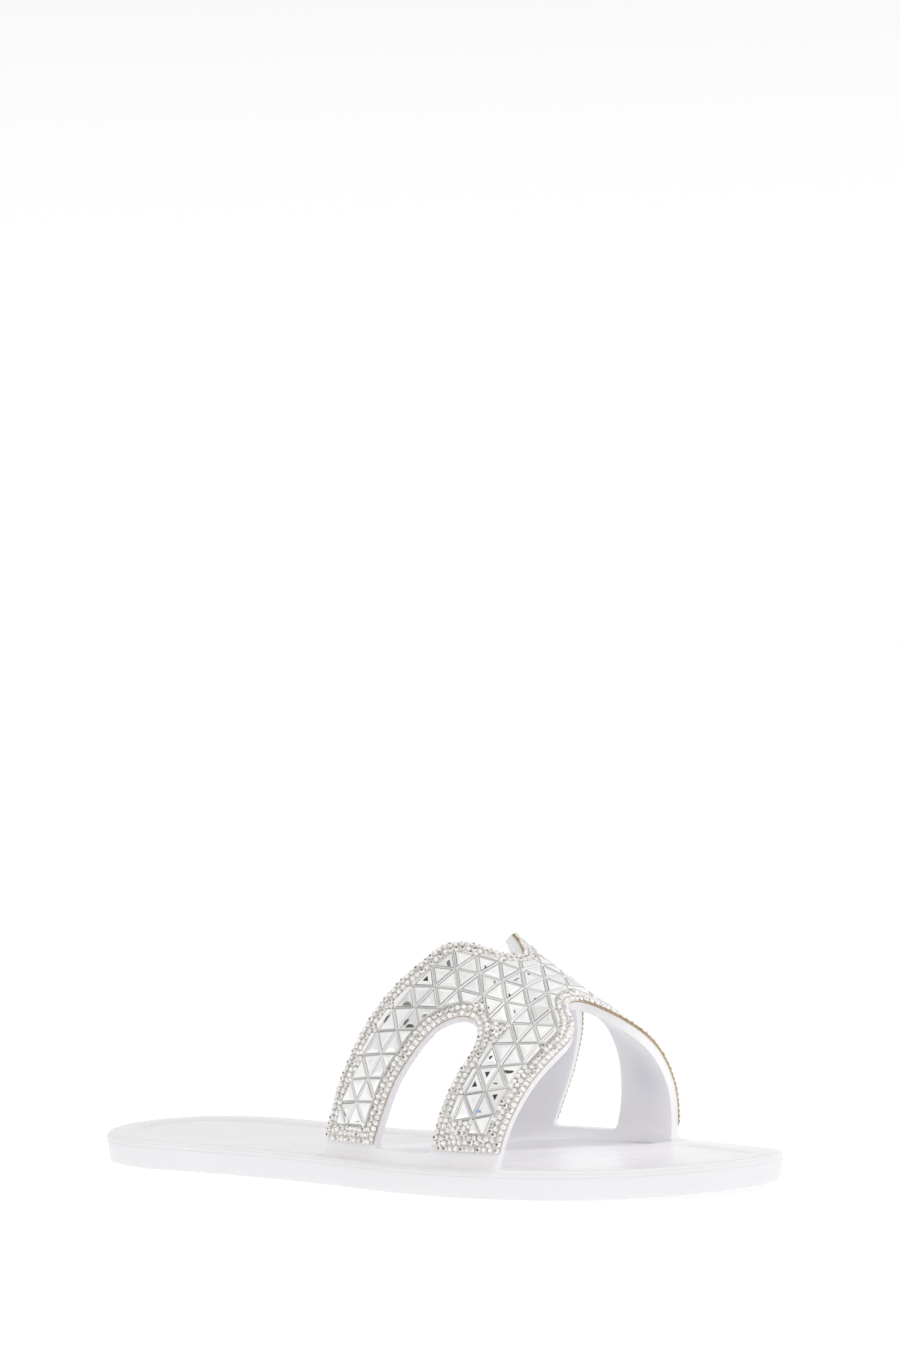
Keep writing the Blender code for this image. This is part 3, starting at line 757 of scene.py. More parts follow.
def leg_end(edge, side):
    """The turn at which an edge comes down to the foot of the overlay."""
    climb = SLOT_SILL
    for _ in range(SOLVER_ROUNDS):
        x = float(edge(np.array([side * (1.0 - climb)]))[0])
        climb = math.asin(OVERLAY_FOOT / float(crown_rise(x))) / (math.pi / 2)
    return side * (1.0 - climb)


def end_line(first_edge, second_edge, side):
    """Places along the straight lower end of the overlay on one leg, without its two corners."""
    first = float(first_edge(np.array([leg_end(first_edge, side)]))[0])
    second = float(second_edge(np.array([leg_end(second_edge, side)]))[0])
    x = np.linspace(first, second, END_STEPS + 1)[1:-1]
    climb = np.arcsin(OVERLAY_FOOT / crown_rise(x)) / (math.pi / 2)
    return x, side * (1.0 - climb)


def slot_line(side, top):
    """Places up the rear edge of a slot, round its top and down its front edge."""
    sides = []
    for edge in (slot_rear, slot_front):
        foot = 1.0 - abs(leg_end(edge, side))
        straight = np.linspace(foot + CORNER_CLIMB, top.start, SLOT_STEPS)
        sides.append(side * (1.0 - np.concatenate([[foot], straight, round_climbs(top)[1:]])))
    rear, front = sides[0], sides[1][-2::-1]
    return np.concatenate([slot_rear(rear), slot_front(front)]), np.concatenate([rear, front])


def edge_line(edge, side):
    """Places along an outer edge from the foot of one leg, over the crown, to the foot of the other."""
    start, stop = leg_end(edge, side), leg_end(edge, -side)
    between = np.linspace(start - side * CORNER_CLIMB, stop + side * CORNER_CLIMB, EDGE_STEPS)
    turns = np.concatenate([[start], between, [stop]])
    return edge(turns), turns


def overlay_loop():
    """The cut edge of the flat overlay, anticlockwise, and which of its sides are ends of legs."""
    medial = slot_line(1.0, MEDIAL_TOP)
    lateral = slot_line(-1.0, LATERAL_TOP)
    runs = (
        (*edge_line(front_edge, -1.0), False),
        (*end_line(front_edge, slot_front, 1.0), True),
        (medial[0][::-1], medial[1][::-1], False),
        (*end_line(slot_rear, rear_edge, 1.0), True),
        (*edge_line(rear_edge, 1.0), False),
        (*end_line(rear_edge, slot_rear, -1.0), True),
        (lateral[0], lateral[1], False),
        (*end_line(slot_front, front_edge, -1.0), True),
    )
    x = np.concatenate([run[0] for run in runs])
    turn = np.concatenate([run[1] for run in runs])
    at_end = np.concatenate([np.full(len(run[0]), run[2]) for run in runs])
    return flat_places(x, turn), at_end | np.roll(at_end, -1)


def inner_loop(loop, widths):
    """A closed line moved inwards, each side by its own width."""
    along = unit(np.roll(loop, -1, axis=0) - loop)
    inwards = np.column_stack([-along[:, 1], along[:, 0]])
    moved = []
    for i, corner in enumerate(loop):
        before, after = inwards[i - 1], inwards[i]
        turning = before[0] * after[1] - before[1] * after[0]
        if abs(turning) > SHARP_TURN:
            pair = np.array([before, after])
            moved.append(corner + np.linalg.solve(pair, [widths[i - 1], widths[i]]))
        else:
            middle = (before + after) / (1.0 + before @ after)
            moved.append(corner + middle * 0.5 * (widths[i - 1] + widths[i]))
    return np.array(moved)


def depth_inside(points, loop):
    """How far each point lies inside a closed line, negative outside it."""
    points = np.asarray(points, float)
    start = loop[None]
    step = (np.roll(loop, -1, axis=0) - loop)[None]
    away = points[:, None] - start
    share = np.clip((away * step).sum(2) / (step**2).sum(2), 0.0, 1.0)
    nearest = np.linalg.norm(away - step * share[..., None], axis=2).min(axis=1)
    above = start[..., 1] > points[:, None, 1]
    next_above = (start + step)[..., 1] > points[:, None, 1]
    with np.errstate(divide="ignore", invalid="ignore"):
        crossing = start[..., 0] + step[..., 0] * (points[:, None, 1] - start[..., 1]) / step[..., 1]
    crossed = (above != next_above) & (points[:, None, 0] < crossing)
    return np.where(crossed.sum(axis=1) % 2 == 1, nearest, -nearest)


def line_inside(loop, widths):
    """A closed line moved inwards, without the places where it would fold over itself."""
    moved = inner_loop(loop, widths)
    return moved[depth_inside(moved, loop) > widths.min() - FOLD_SLACK]


def fanned(row_place, girth):
    """Where a place in the even lattice falls on the flat sheet: its rows part to follow the legs."""
    share = eased((row_place - REAR_ROWS_END) / (FRONT_ROWS_START - REAR_ROWS_END))
    reach = math.hypot(girth, LEAN_ROUND)
    lean = REAR_LEAN + (FRONT_LEAN - REAR_LEAN) * share
    along = FIRST_ROW + ROW_SPREAD * row_place + lean * (reach - LEAN_ROUND)
    return along, girth * (1.0 + LEG_SHIFT * share / reach)


def lattice(side):
    """Corners and triangles of a triangular lattice over the sheet, one row of sides along the girth."""
    row = side * ROW_SHARE
    corners = {}
    for i in range(math.floor(LATTICE_REAR / row), math.ceil(LATTICE_FRONT / row) + 1):
        for j in range(-math.ceil(LATTICE_GIRTH / side), math.ceil(LATTICE_GIRTH / side) + 1):
            corners[i, j] = fanned(i * row, STONE_PHASE + (j + (i % 2) / 2) * side)
    triangles = []
    for i, j in corners:
        other = j if i % 2 else j - 1
        for third in ((i + 1, other + 1), (i - 1, other + 1)):
            keys = ((i, j), (i, j + 1), third)
            if all(key in corners for key in keys):
                triangles.append(keys if third[0] < i else (keys[1], keys[0], keys[2]))
    return corners, triangles


def carrier_faces(edge):
    corners, _ = lattice(CARRIER_GRID)
    spots = np.array(list(corners.values()))
    spots = spots[depth_inside(spots, edge) > GRID_MARGIN]
    places = [Vector(place) for place in np.vstack([edge, spots])]
    outline = [list(range(len(edge)))]
    points, _, triangles, *_ = delaunay_2d_cdt(places, [], outline, FILL_INSIDE, MERGE_DISTANCE)
    cells = [[tuple(points[i]) for i in triangle] for triangle in triangles]
    return thick_faces(tidy_cells(cells), CARRIER_LOW, CARRIER_HIGH)


def paint_faces(piece, layer_name, colours):
    """Stores one colour for each face of a piece."""
    mesh = piece.data
    layer = mesh.color_attributes.new(layer_name, "FLOAT_COLOR", "CORNER")
    values = np.repeat(np.array(colours), [len(face.vertices) for face in mesh.polygons], axis=0)
    layer.data.foreach_set("color", values.astype(np.float32).ravel())


def faded_tone(tree, layer_name, pattern, least, most):
    """The stored colour of a face, made lighter and darker by a pattern."""
    tone = add_node(tree, "ShaderNodeVertexColor", layer_name=layer_name)
    fade = add_node(tree, "ShaderNodeMapRange", {"To Min": least, "To Max": most}, {"Value": pattern})
    faded = add_node(
        tree,
        "ShaderNodeVectorMath",
        (),
        {0: tone.outputs["Color"], "Scale": fade.outputs["Result"]},
        operation="SCALE",
    )
    return faded.outputs["Vector"]


def cut_carrier(name):
    """Hot-melt carrier film, die cut: dull and pale with flecks of set glue, and a brown cut edge."""
    made, tree, shader = new_material(name, {"Roughness": CARRIER_ROUGHNESS})
    place = add_node(tree, "ShaderNodeTexCoord").outputs["Object"]
    fleck = add_node(tree, "ShaderNodeTexNoise", noise_sockets(CARRIER_FLECK), {"Vector": place})
    tone = faded_tone(tree, FILM_LAYER, fleck.outputs["Fac"], CARRIER_DULL, CARRIER_BRIGHT)
    tree.links.new(tone, shader.inputs["Base Color"])
    return made


loop, at_end = overlay_loop()
cut_edge = inner_loop(loop, np.full(len(loop), OVERLAY_MARGIN))
carrier_film = cut_carrier("carrier_film_die_cut")
carrier_places, carrier_numbers = indexed(carrier_faces(cut_edge))
carrier_piece = add_piece(
    "carrier_sheet",
    bent_sheet(carrier_places),
    carrier_numbers,
    carrier_film,
    "backing_sheet",
    CARRIER_CREASE,
)
at_edge = [np.ptp(carrier_places[corners, 2]) > 0.0 for corners in carrier_numbers]
paint_faces(carrier_piece, FILM_LAYER, [linear(CARRIER_EDGE if cut else CARRIER_FACE) for cut in at_edge])


# Triangular stones
# Clear cast resin stones with a silver foil back, each a low three-sided pyramid with a small flat table.
# They are set edge to edge in rows, and the ones at the border are cut to it.

STONE_SIDE = 8.57
STONE_AREA = STONE_SIDE**2 * ROW_SHARE / 2.0
STONE_INSIDE = STONE_SIDE / (2.0 * math.sqrt(3.0))
SMALLEST_STONE = 0.3
STONE_FOOT = CARRIER_HIGH
GROOVE_LEVEL = 1.1
SHOULDER_LEVEL = 1.68
FACET_LEVEL = 1.74
TABLE_LEVEL = 1.98
GLINT_LEVEL = 2.02
GLINT_MARGIN = 0.15
GLINT_SHRINK = 0.9
GLINT_ROUNDS = 20
GROOVE_HALF = 0.07
LINE_WIDTH = 0.2
TABLE_SHARE = 0.35
BORDER_WIDTH = 4.1
BORDER_END_WIDTH = 5.6
STRAIGHT_ENOUGH = 0.12
ROW_SLANT = 0.7
STONE_SEED = 11
# Stored colour of each face: the foil's own colour, painted reflections and painted shade.
FACET_COLOUR_AND_REFLECTION_LAYER = "facet_colour_and_reflection"
# A smear that makes the painted reflections duller and brighter.
FOIL_REFLECTION_SMEAR = Pattern(2.4, 3.0, 1.2)
FOIL_REFLECTION_DULL = 0.9
FOIL_REFLECTION_BRIGHT = 1.06
RESIN_SKIN = 0.6
RESIN_SKIN_ROUGHNESS = 0.03
RESIN_ROUGHNESS = 0.16
RESIN_METALLIC = 0.38
FACETED = 5.0

# Sides of the stones run three ways, and the bevels of each way get their own painted reflection tone.
StoneSide = namedtuple("StoneSide", "bevel tone")
ROW_SIDE = StoneSide(0.40, "FAFAFA")
STEEP_SIDE = StoneSide(0.50, "EBEBEA")
LEVEL_SIDE = StoneSide(0.34, "E8E8E7")
CUT_SIDE = StoneSide(0.18, "EEEEED")
CUT_DEPTH = 0.1
# Painted shade in the groove between the stones.
GROOVE_SHADE_TONE = "C0BFBD"

# Painted reflections: the large facets mostly white, a few cool or warm; the fine lines that edge them some
# dark.
FacetTone = namedtuple("FacetTone", "colour weight")
FACET_REFLECTION_TONES = (
    FacetTone("FFFFFF", 0.48),
    FacetTone("F6F6F6", 0.30),
    FacetTone("E9E9E9", 0.14),
    FacetTone("F2F3F5", 0.04),
    FacetTone("F8F5EE", 0.04),
)
LINE_REFLECTION_TONES = (
    FacetTone("666564", 0.12),
    FacetTone("A09F9E", 0.26),
    FacetTone("E0E0DF", 0.62),
)
# On the instep the lines get darker painted reflections.
CROWN_LINE_REFLECTION_TONES = (
    FacetTone("50504F", 0.34),
    FacetTone("8E8D8C", 0.36),
    FacetTone("D2D2D1", 0.30),
)
CROWN_REACH = 36.0

# Outer-side stones whose table gets a painted reflection of a dark corner of the room. The inner side
# repeats them.
SheetPlace = namedtuple("SheetPlace", "along girth")
DARK_REFLECTION_TABLES = (
    SheetPlace(129.7, -47.4),
    SheetPlace(129.4, -51.3),
    SheetPlace(137.1, -50.3),
    SheetPlace(89.3, -32.3),
)
DARK_REFLECTION_TONE = "302F2E"

# Corners of the outer side where no stone is set, so that rhinestones fill them.
BARE_CORNERS = (
    SheetPlace(119.3, -32.4),
    SheetPlace(117.8, -36.6),
    SheetPlace(109.4, -31.1),
    SheetPlace(134.0, -63.2),
)
BARE_REACH = 2.5

# Painted reflections, half-moon glints and short strokes, in some outer-side stones. The inner side repeats
# them.
# The angle is that of the straight side on the sheet.
Glint = namedtuple("Glint", "along girth angle length width tone")
GLINTS = (
    Glint(133.7, -41.3, 210.0, 2.9, 1.1, "4A4948"),
    Glint(126.1, -41.0, 100.0, 1.5, 0.8, "5C5B5A"),
    Glint(133.6, -47.0, 30.0, 1.3, 0.5, "5C5B5A"),
    Glint(90.8, -43.5, 34.0, 2.8, 1.2, "8A8988"),
    Glint(88.4, -50.3, 90.0, 2.9, 1.0, "555453"),
    Glint(95.0, -47.4, 90.0, 2.3, 0.9, "6F6E6D"),
    Glint(97.0, -48.0, 34.0, 2.8, 1.1, "5A5958"),
    Glint(98.9, -43.0, 34.0, 2.4, 1.3, "9A9998"),
    Glint(99.1, -51.8, 90.0, 2.9, 1.3, "5A5958"),
    Glint(90.1, -25.0, 146.0, 2.5, 1.1, "7C7F86"),
    Glint(135.4, -56.7, 30.0, 2.0, 1.0, "9FBBE3"),
    Glint(98.2, -18.1, 332.0, 1.6, 0.5, "4A4948"),
    Glint(104.6, -20.1, 332.0, 1.2, 0.5, "7A7978"),
    Glint(111.7, -20.6, 332.0, 1.5, 0.6, "4A4948"),
    Glint(117.9, -24.3, 333.0, 1.5, 0.5, "7C7F86"),
    Glint(111.3, -28.7, 325.0, 1.0, 0.5, "6F6E6D"),
    Glint(107.9, -13.6, 94.0, 2.6, 0.5, "8A8988"),
    Glint(107.7, -8.7, 0.0, 0.9, 0.8, "666564"),
    Glint(117.6, -15.5, 350.0, 0.9, 0.5, "6F6E6D"),
)
GLINT_STEPS = 8
BEVEL_SPREAD = 0.12
FACET_SPREAD = 0.09


def area(outline):
    x, y = np.array(outline).T
    return 0.5 * float(np.sum(x * np.roll(y, -1) - np.roll(x, -1) * y))


def straightened(cell):
    """A cell without the corners that hardly turn, so that its facets stay few and flat."""
    kept = list(cell)
    turning = True
    while turning and len(kept) > 3:
        turning = False
        for i in range(len(kept)):
            before, here, after = (np.array(kept[k % len(kept)]) for k in (i - 1, i, i + 1))
            a, b = here - before, after - here
            sine = abs(a[0] * b[1] - a[1] * b[0]) / (np.linalg.norm(a) * np.linalg.norm(b))
            if sine < STRAIGHT_ENOUGH:
                kept.pop(i)
                turning = True
                break
    return kept


def in_bare_corner(middle):
    return any(math.dist(middle, corner) < BARE_REACH for corner in BARE_CORNERS)


def stone_cells(field):
    """The lattice triangles inside a closed line, cut where they cross it."""
    corners, triangles = lattice(STONE_SIDE)
    numbers = {key: len(field) + i for i, key in enumerate(corners)}
    places = [Vector(place) for place in list(field) + list(corners.values())]
    outlines = [list(range(len(field)))] + [[numbers[key] for key in keys] for keys in triangles]
    points, _, pieces, _, _, sources = delaunay_2d_cdt(places, [], outlines, KEEP_PIECES, MERGE_DISTANCE)
    inside = [piece for piece, source in zip(pieces, sources) if 0 in source and len(source) > 1]
    cells = tidy_cells([[tuple(points[i]) for i in piece] for piece in inside])
    large = [straightened(cell) for cell in cells if area(cell) > SMALLEST_STONE * STONE_AREA]
    return [cell for cell in large if not in_bare_corner(np.mean(cell, axis=0))]


def side_kind(start, end, field):
    """Which way a side of a stone runs: along the cut, along its row, or steep or level across rows."""
    along, girth = end - start
    if depth_inside([(start + end) / 2.0], field)[0] < CUT_DEPTH:
        return CUT_SIDE
    if abs(along) < ROW_SLANT * abs(girth):
        return ROW_SIDE
    return STEEP_SIDE if along * girth * (start[1] + end[1]) > 0.0 else LEVEL_SIDE


def ring_at(line, level):
    return np.column_stack([line, np.full(len(line), level)])


def picked(tones, chance):
    """A colour from a table of tones, by a chance from 0 to 1."""
    weights = np.cumsum([tone.weight for tone in tones])
    return linear(tones[int(np.searchsorted(weights, chance * weights[-1]))].colour)


def varied(colour, spread, chance):
    """A colour made a little brighter or darker by chance."""
    share = chance.uniform(1.0 - spread, 1.0 + spread)
    return (*[value * share for value in colour[:3]], 1.0)


def stone_facets(cell, field, has_dark_reflection, chance):
    """The faces of one stone on the flat sheet, each with its painted reflection, or painted shade in the
    groove.
    """
    outline = np.array(cell)
    ends = np.roll(outline, -1, axis=0)
    kinds = [side_kind(start, end, field) for start, end in zip(outline, ends)]
    inside = 2.0 * area(cell) / np.linalg.norm(ends - outline, axis=1).sum()
    size = min(1.0, inside / STONE_INSIDE)
    bevels = GROOVE_HALF + size * np.array([kind.bevel for kind in kinds])
    facet_edge = inner_loop(outline, bevels + size * LINE_WIDTH)
    centre = facet_edge.mean(axis=0)
    rings = (
        ring_at(outline, GROOVE_LEVEL),
        ring_at(inner_loop(outline, np.full(len(cell), GROOVE_HALF)), GROOVE_LEVEL),
        ring_at(inner_loop(outline, bevels), SHOULDER_LEVEL),
        ring_at(facet_edge, FACET_LEVEL),
        ring_at(centre + TABLE_SHARE * (facet_edge - centre), TABLE_LEVEL),
    )
    own = picked(FACET_REFLECTION_TONES, chance.random())
    line_reflection_tones = CROWN_LINE_REFLECTION_TONES if abs(centre[1]) < CROWN_REACH else LINE_REFLECTION_TONES
    facets = [(face, linear(GROOVE_SHADE_TONE)) for face in joined_rings(rings[0], rings[1])]
    for face, kind in zip(joined_rings(rings[1], rings[2]), kinds):
        facets.append((face, varied(linear(kind.tone), BEVEL_SPREAD, chance)))
    for face in joined_rings(rings[2], rings[3]):
        facets.append((face, picked(line_reflection_tones, chance.random())))
    for face in joined_rings(rings[3], rings[4]):
        facets.append((face, varied(own, FACET_SPREAD, chance)))
    facets.append((list(rings[4]), linear(DARK_REFLECTION_TONE) if has_dark_reflection else varied(own, FACET_SPREAD, chance)))
    return facets


def half_moon(glint, mirrored):
    """The outline of a glint on the flat sheet, on the outer side or mirrored on the inner side."""
    swing = np.linspace(0.0, math.pi, GLINT_STEPS + 1)
    local = np.column_stack([0.5 * glint.length * np.cos(swing), glint.width * np.sin(swing)])
    angle = math.radians(180.0 - glint.angle if mirrored else glint.angle)
    turned = local @ np.array([[math.cos(angle), math.sin(angle)], [-math.sin(angle), math.cos(angle)]])
    return turned + [glint.along, -glint.girth if mirrored else glint.girth]


def fitted(outline, stone):
    """An outline drawn in towards its middle wherever it would leave its stone."""
    middle = outline.mean(axis=0)
    away = outline - middle
    for _ in range(GLINT_ROUNDS):
        leaving = depth_inside(middle + away, stone) < GLINT_MARGIN
        away[leaving] *= GLINT_SHRINK
    return middle + away


def web_walls(cells):
    """The rim of the web, down to the carrier, along every side where a stone has no neighbour."""
    return [
        [(*a, STONE_FOOT), (*b, STONE_FOOT), (*b, GROOVE_LEVEL), (*a, GROOVE_LEVEL)]
        for a, b in free_sides(cells)
    ]


def foiled_resin(name, roughness, metallic):
    """Clear cast resin over silver foil under a clear skin; each facet's stored tone is a painted
    reflection.
    """
    finish = {
        "Roughness": roughness,
        "Metallic": metallic,
        "Coat Weight": RESIN_SKIN,
        "Coat Roughness": RESIN_SKIN_ROUGHNESS,
    }
    made, tree, shader = new_material(name, finish)
    place = add_node(tree, "ShaderNodeTexCoord").outputs["Object"]
    reflection_smear = add_node(tree, "ShaderNodeTexNoise", noise_sockets(FOIL_REFLECTION_SMEAR), {"Vector": place})
    tone = faded_tone(tree, FACET_COLOUR_AND_REFLECTION_LAYER, reflection_smear.outputs["Fac"], FOIL_REFLECTION_DULL, FOIL_REFLECTION_BRIGHT)
    tree.links.new(tone, shader.inputs["Base Color"])
    return made


widths = np.where(at_end, BORDER_END_WIDTH, BORDER_WIDTH)
stone_field = line_inside(cut_edge, widths)
stones = stone_cells(stone_field)
stone_middles = np.array([np.mean(stone, axis=0) for stone in stones])
mirrored_reflection_tables = [(place.along, -place.girth) for place in DARK_REFLECTION_TABLES]
dark_reflection_stones = set()
for place in list(DARK_REFLECTION_TABLES) + mirrored_reflection_tables:
    dark_reflection_stones.add(int(np.argmin(np.linalg.norm(stone_middles - place, axis=1))))
stone_chance = np.random.default_rng(STONE_SEED)
stone_faces = web_walls(stones)
stone_colours = [linear(CUT_SIDE.tone)] * len(stone_faces)
for number, stone in enumerate(stones):
    for face, colour in stone_facets(stone, stone_field, number in dark_reflection_stones, stone_chance):
        stone_faces.append(face)
        stone_colours.append(colour)
for glint in GLINTS:
    for mirrored in (False, True):
        outline = half_moon(glint, mirrored)
        for stone in stones:
            if depth_inside([outline.mean(axis=0)], np.array(stone))[0] > GLINT_MARGIN:
                stone_faces.append(ring_at(fitted(outline, np.array(stone)), GLINT_LEVEL))
                stone_colours.append(linear(glint.tone))
stone_places, stone_numbers = indexed(stone_faces)
resin = foiled_resin("resin_cast_foil_backed", RESIN_ROUGHNESS, RESIN_METALLIC)
stone_piece = add_piece(
    "triangular_stones", bent_sheet(stone_places), stone_numbers, resin, "triangle_stones", FACETED
)
paint_faces(stone_piece, FACET_COLOUR_AND_REFLECTION_LAYER, stone_colours)


# Rhinestone border
# Small round flat-back rhinestones of cut acrylic over foil, glued in two rows along every edge of the H.
# More of them fill the ends of the legs and the corners that no triangular stone fits.

BEAD_ACROSS = 1.95
BEAD_PITCH = 1.88
BEAD_HEIGHT = 1.15
BeadRow = namedtuple("BeadRow", "inset start")
BEAD_ROWS = (BeadRow(0.85, 0.0), BeadRow(2.95, 0.5))
FILL_GRID = 0.4
FILL_GAP = 1.6
FILL_FROM_STONE = 0.4
BEAD_SIDES = 6
BEAD_SEED = 5
FRAME_STEP = 0.4
TILT_SPREAD = 0.07
ACRYLIC_ROUGHNESS = 0.12
ACRYLIC_METALLIC = 0.25

BeadRing = namedtuple("BeadRing", "radius height half_step")
BEAD_RINGS = (
    BeadRing(1.0, 0.0, False),
    BeadRing(1.02, 0.36, False),
    BeadRing(0.80, 0.70, True),
    BeadRing(0.46, 1.0, False),
)
# Painted reflections on the crown facets and the table of a rhinestone, some dark.
BEAD_CROWN_REFLECTION_TONES = (
    FacetTone("FFFFFF", 0.42),
    FacetTone("F4F2F0", 0.32),
    FacetTone("E0DDD9", 0.18),
    FacetTone("C6C1BB", 0.08),
)
BEAD_TABLE_REFLECTION_TONES = (
    FacetTone("FFFFFF", 0.48),
    FacetTone("E4E2E0", 0.26),
    FacetTone("A19D98", 0.16),
    FacetTone("6F6B66", 0.10),
)

# The foil round a rhinestone is pale, and gilt in the row along the edge on the inner side of the shoe.
FOIL_TONE = "F0ECE6"
GILT_TONE = "B59A6C"
EDGE_REACH = 1.2


def evenly_along(line, pitch, start):
    """Places at an even pitch along a closed line."""
    closed = np.vstack([line, line[:1]])
    run = run_along(closed)
    count = int(run[-1] / pitch)
    places = (np.arange(count) + start) * run[-1] / count
    return np.column_stack([np.interp(places, run, closed[:, 0]), np.interp(places, run, closed[:, 1])])


def bead_spots():
    """Centres of the rhinestones: two rows along the edge, then every gap that still takes one."""
    spots = []
    for row in BEAD_ROWS:
        line = line_inside(cut_edge, np.full(len(cut_edge), row.inset))
        for spot in evenly_along(line, BEAD_PITCH, row.start):
            if all(math.dist(spot, other) > FILL_GAP for other in spots):
                spots.append(spot)
    low, high = cut_edge.min(axis=0), cut_edge.max(axis=0)
    grid = np.meshgrid(*[np.arange(a, b, FILL_GRID) for a, b in zip(low, high)], indexing="ij")
    free = np.column_stack([axis.ravel() for axis in grid])
    depth = depth_inside(free, cut_edge)
    deep = depth > BEAD_ROWS[0].inset
    free, depth = free[deep], depth[deep]
    for stone in stones:
        clear = depth_inside(free, np.array(stone)) < -FILL_FROM_STONE
        free, depth = free[clear], depth[clear]
    for spot in free[np.argsort(depth)]:
        if np.linalg.norm(np.array(spots) - spot, axis=1).min() > FILL_GAP:
            spots.append(spot)
    return np.array(spots)


def bead_shape():
    """Corners, faces and painted reflection tones (all but the foil) of a rhinestone of unit radius and
    height.
    """
    corners, faces, tones = [], [], []
    for ring_row in BEAD_RINGS:
        for k in range(BEAD_SIDES):
            angle = 2 * math.pi * (k + 0.5 * ring_row.half_step) / BEAD_SIDES
            reach = ring_row.radius
            corners.append((reach * math.cos(angle), reach * math.sin(angle), ring_row.height))
    for k in range(BEAD_SIDES):
        after = (k + 1) % BEAD_SIDES
        wall, girdle, crown, table = (n * BEAD_SIDES for n in range(len(BEAD_RINGS)))
        faces.append((wall + k, wall + after, girdle + after, girdle + k))
        faces.append((girdle + k, girdle + after, crown + k))
        faces.append((crown + k, girdle + after, crown + after))
        faces.append((crown + k, table + after, table + k))
        faces.append((crown + k, crown + after, table + after))
        tones += [None, BEAD_CROWN_REFLECTION_TONES, BEAD_CROWN_REFLECTION_TONES, BEAD_CROWN_REFLECTION_TONES, BEAD_CROWN_REFLECTION_TONES]
    faces.append(tuple(range(table, table + BEAD_SIDES)))
    tones.append(BEAD_TABLE_REFLECTION_TONES)
    return np.array(corners), faces, tones


spots = bead_spots()
bead_foot = np.full((len(spots), 1), CARRIER_HIGH)
bead_middles = bent_sheet(np.hstack([spots, bead_foot]))
bead_along = bent_sheet(np.hstack([spots + [FRAME_STEP, 0.0], bead_foot])) - bead_middles
bead_round = bent_sheet(np.hstack([spots + [0.0, FRAME_STEP], bead_foot])) - bead_middles
bead_normals = unit(np.cross(bead_along, bead_round))
bead_along = unit(bead_along)
bead_round = np.cross(bead_normals, bead_along)
bead_chance = np.random.default_rng(BEAD_SEED)
shape_corners, shape_faces, shape_tones = bead_shape()
bead_points, bead_faces, bead_colours = [], [], []
gilt_beads = (depth_inside(spots, cut_edge) < EDGE_REACH) & (spots[:, 1] > 0.0)
bead_frames = zip(bead_middles, bead_along, bead_round, bead_normals, gilt_beads)
for middle, along, round_way, normal, gilt in bead_frames:
    spin = bead_chance.uniform(0.0, 2 * math.pi)
    lean = bead_chance.normal(0.0, TILT_SPREAD, 2)
    first = along * math.cos(spin) + round_way * math.sin(spin) + normal * lean[0]
    second = round_way * math.cos(spin) - along * math.sin(spin) + normal * lean[1]
    local = shape_corners * [BEAD_ACROSS / 2, BEAD_ACROSS / 2, BEAD_HEIGHT]
    start = len(bead_points)
    bead_points += list(middle + local @ np.array([first, second, normal]))
    bead_faces += [tuple(start + i for i in face) for face in shape_faces]
    foil_colour = linear(GILT_TONE if gilt else FOIL_TONE)
    for tones in shape_tones:
        bead_colours.append(picked(tones, bead_chance.random()) if tones else foil_colour)
acrylic = foiled_resin("acrylic_cut_foil_backed", ACRYLIC_ROUGHNESS, ACRYLIC_METALLIC)
bead_piece = add_piece(
    "rhinestone_border", np.array(bead_points), bead_faces, acrylic, "stone_border", FACETED
)
paint_faces(bead_piece, FACET_COLOUR_AND_REFLECTION_LAYER, bead_colours)


# Floor and light
# The shoe stands on a wide light table of opal acrylic between white walls, under a greyer ceiling. A broad
# bank shines from above, a softbox stands low on each side, and a snoot shines in under the strap.

TABLE_RADIUS = 8.0
TABLE_SIDES = 96
TABLE_WHITE = "A8A8A8"
TABLE_GLOW = "FFFFFF"
TABLE_STRENGTH = 0.64
TABLE_ROUGHNESS = 0.7
TABLE_GRAIN = Pattern(3.0)
TABLE_GRAIN_DEPTH_MM = 0.05
TABLE_GRAIN_STRENGTH = 0.02
WALL_WHITE = "FFFFFF"
WALL_STRENGTH = 1.0
CEILING_STRENGTH = 0.72
WALL_TOP = math.sin(math.radians(4.0))
CEILING_START = math.sin(math.radians(16.0))
BANK_POWER = 0.6
BANK_COLOUR = "FFF8F1"
BANK_SPREAD = math.radians(70.0)
BANK_PLACE = Vector((0.35, -0.32, 0.88))
SNOOT_POWER = 9.0
SNOOT_SPREAD = math.radians(10.0)
SNOOT_BLEND = 1.0
SNOOT_RADIUS = 0.03
SNOOT_PLACE = Vector((0.52, 0.32, 0.42))
SNOOT_AIM = Vector((0.035, -0.01, 0.005))
SoftLight = namedtuple("SoftLight", "name place size power")
SOFT_LIGHTS = (
    SoftLight("outer_side_softbox", Vector((0.9, -1.6, 0.35)), 0.7, 0.6),
    SoftLight("inner_side_softbox", Vector((0.3, 1.5, 0.35)), 0.8, 2.0),
)


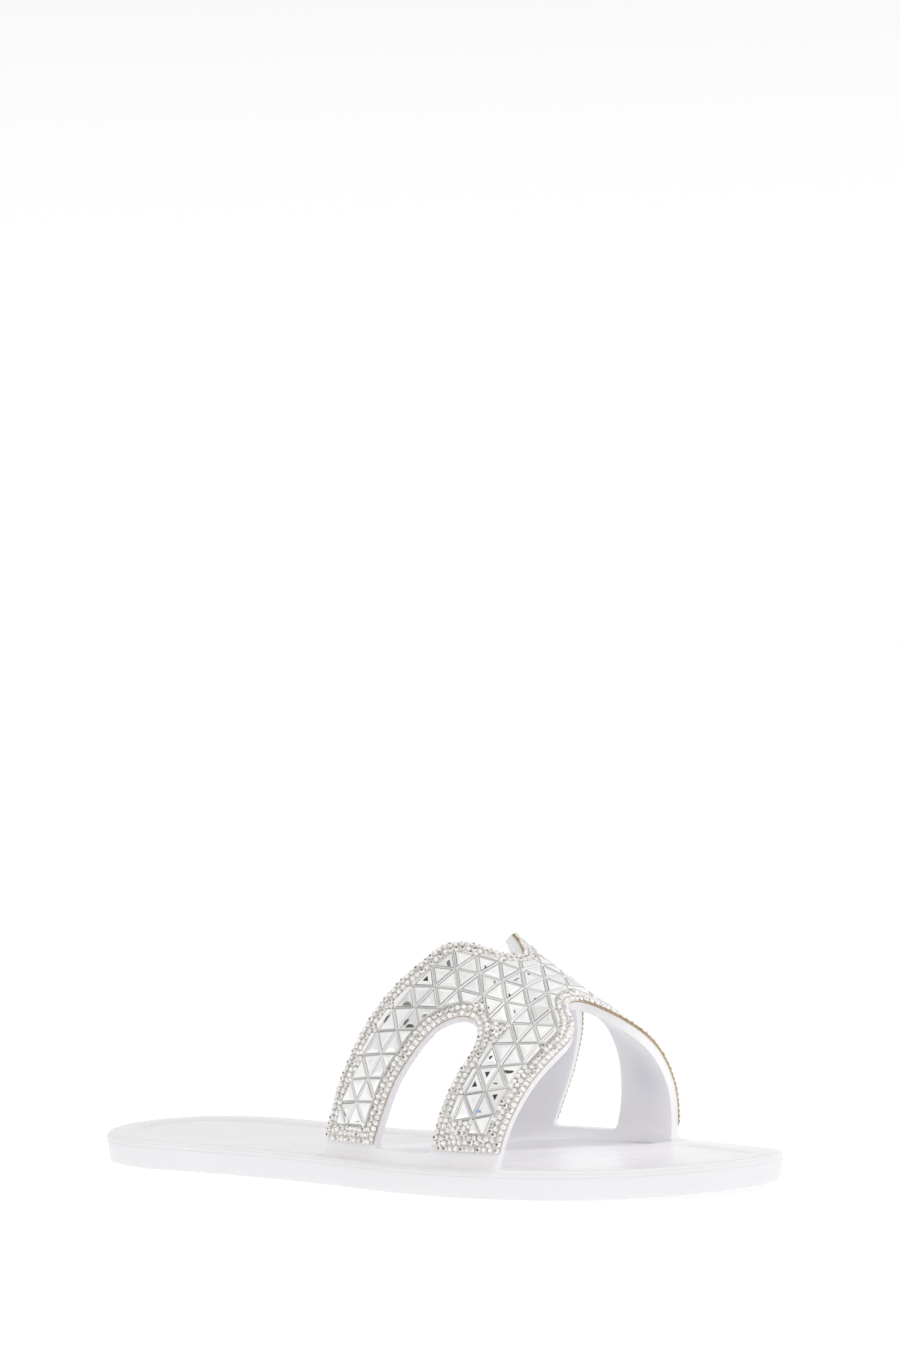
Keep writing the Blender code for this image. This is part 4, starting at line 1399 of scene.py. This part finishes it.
def opal_acrylic(name):
    """Opal acrylic, cast and lit from below: an even white glow under a fine matt grain."""
    finish = {
        "Base Color": linear(TABLE_WHITE),
        "Emission Color": linear(TABLE_GLOW),
        "Emission Strength": TABLE_STRENGTH,
        "Roughness": TABLE_ROUGHNESS,
    }
    made, tree, shader = new_material(name, finish)
    place = add_node(tree, "ShaderNodeTexCoord").outputs["Object"]
    grain = add_node(tree, "ShaderNodeTexNoise", noise_sockets(TABLE_GRAIN), {"Vector": place})
    matt = add_node(
        tree,
        "ShaderNodeBump",
        {"Strength": TABLE_GRAIN_STRENGTH, "Distance": TABLE_GRAIN_DEPTH_MM * MM},
        {"Height": grain.outputs["Fac"]},
    )
    tree.links.new(matt.outputs["Normal"], shader.inputs["Normal"])
    return made


def hang_light(name, kind, power, place, aim):
    """A light at a place, turned to a point, that the stones do not mirror as a spot."""
    lamp = bpy.data.lights.new(name, kind)
    lamp.energy = power
    holder = add_object(name, lamp)
    holder.location = place
    holder.rotation_euler = (aim - place).to_track_quat("-Z", "Y").to_euler()
    holder.visible_glossy = False
    return lamp


table_mesh = bpy.data.meshes.new("light_table")
table_angles = [2 * math.pi * k / TABLE_SIDES for k in range(TABLE_SIDES)]
table_corners = [(TABLE_RADIUS * math.cos(a), TABLE_RADIUS * math.sin(a), 0.0) for a in table_angles]
table_mesh.from_pydata(table_corners, [], [tuple(range(TABLE_SIDES))])
table_mesh.materials.append(opal_acrylic("acrylic_opal_lit"))
table = add_object("light_table", table_mesh)

for soft in SOFT_LIGHTS:
    softbox = hang_light(soft.name, "AREA", soft.power, soft.place, AIM)
    softbox.size = soft.size
snoot = hang_light("snoot", "SPOT", SNOOT_POWER, SNOOT_PLACE, SNOOT_AIM)
snoot.spot_size = SNOOT_SPREAD
snoot.spot_blend = SNOOT_BLEND
snoot.shadow_soft_size = SNOOT_RADIUS
bank = hang_light("overhead_bank", "SUN", BANK_POWER, BANK_PLACE, Vector())
bank.color = linear(BANK_COLOUR)[:3]
bank.angle = BANK_SPREAD

room = bpy.data.worlds.new("pale_room")
room.use_nodes = True
gaze = add_node(room.node_tree, "ShaderNodeTexCoord").outputs["Generated"]
height = add_node(room.node_tree, "ShaderNodeSeparateXYZ", (), {"Vector": gaze}).outputs["Z"]
wall_light = add_node(
    room.node_tree,
    "ShaderNodeMapRange",
    {"From Min": WALL_TOP, "From Max": CEILING_START, "To Min": WALL_STRENGTH, "To Max": CEILING_STRENGTH},
    {"Value": height},
    interpolation_type="SMOOTHSTEP",
)
background = room.node_tree.nodes["Background"]
background.inputs["Color"].default_value = linear(WALL_WHITE)
room.node_tree.links.new(wall_light.outputs["Result"], background.inputs["Strength"])
bpy.context.scene.world = room
bpy.context.scene.view_settings.view_transform = "Standard"
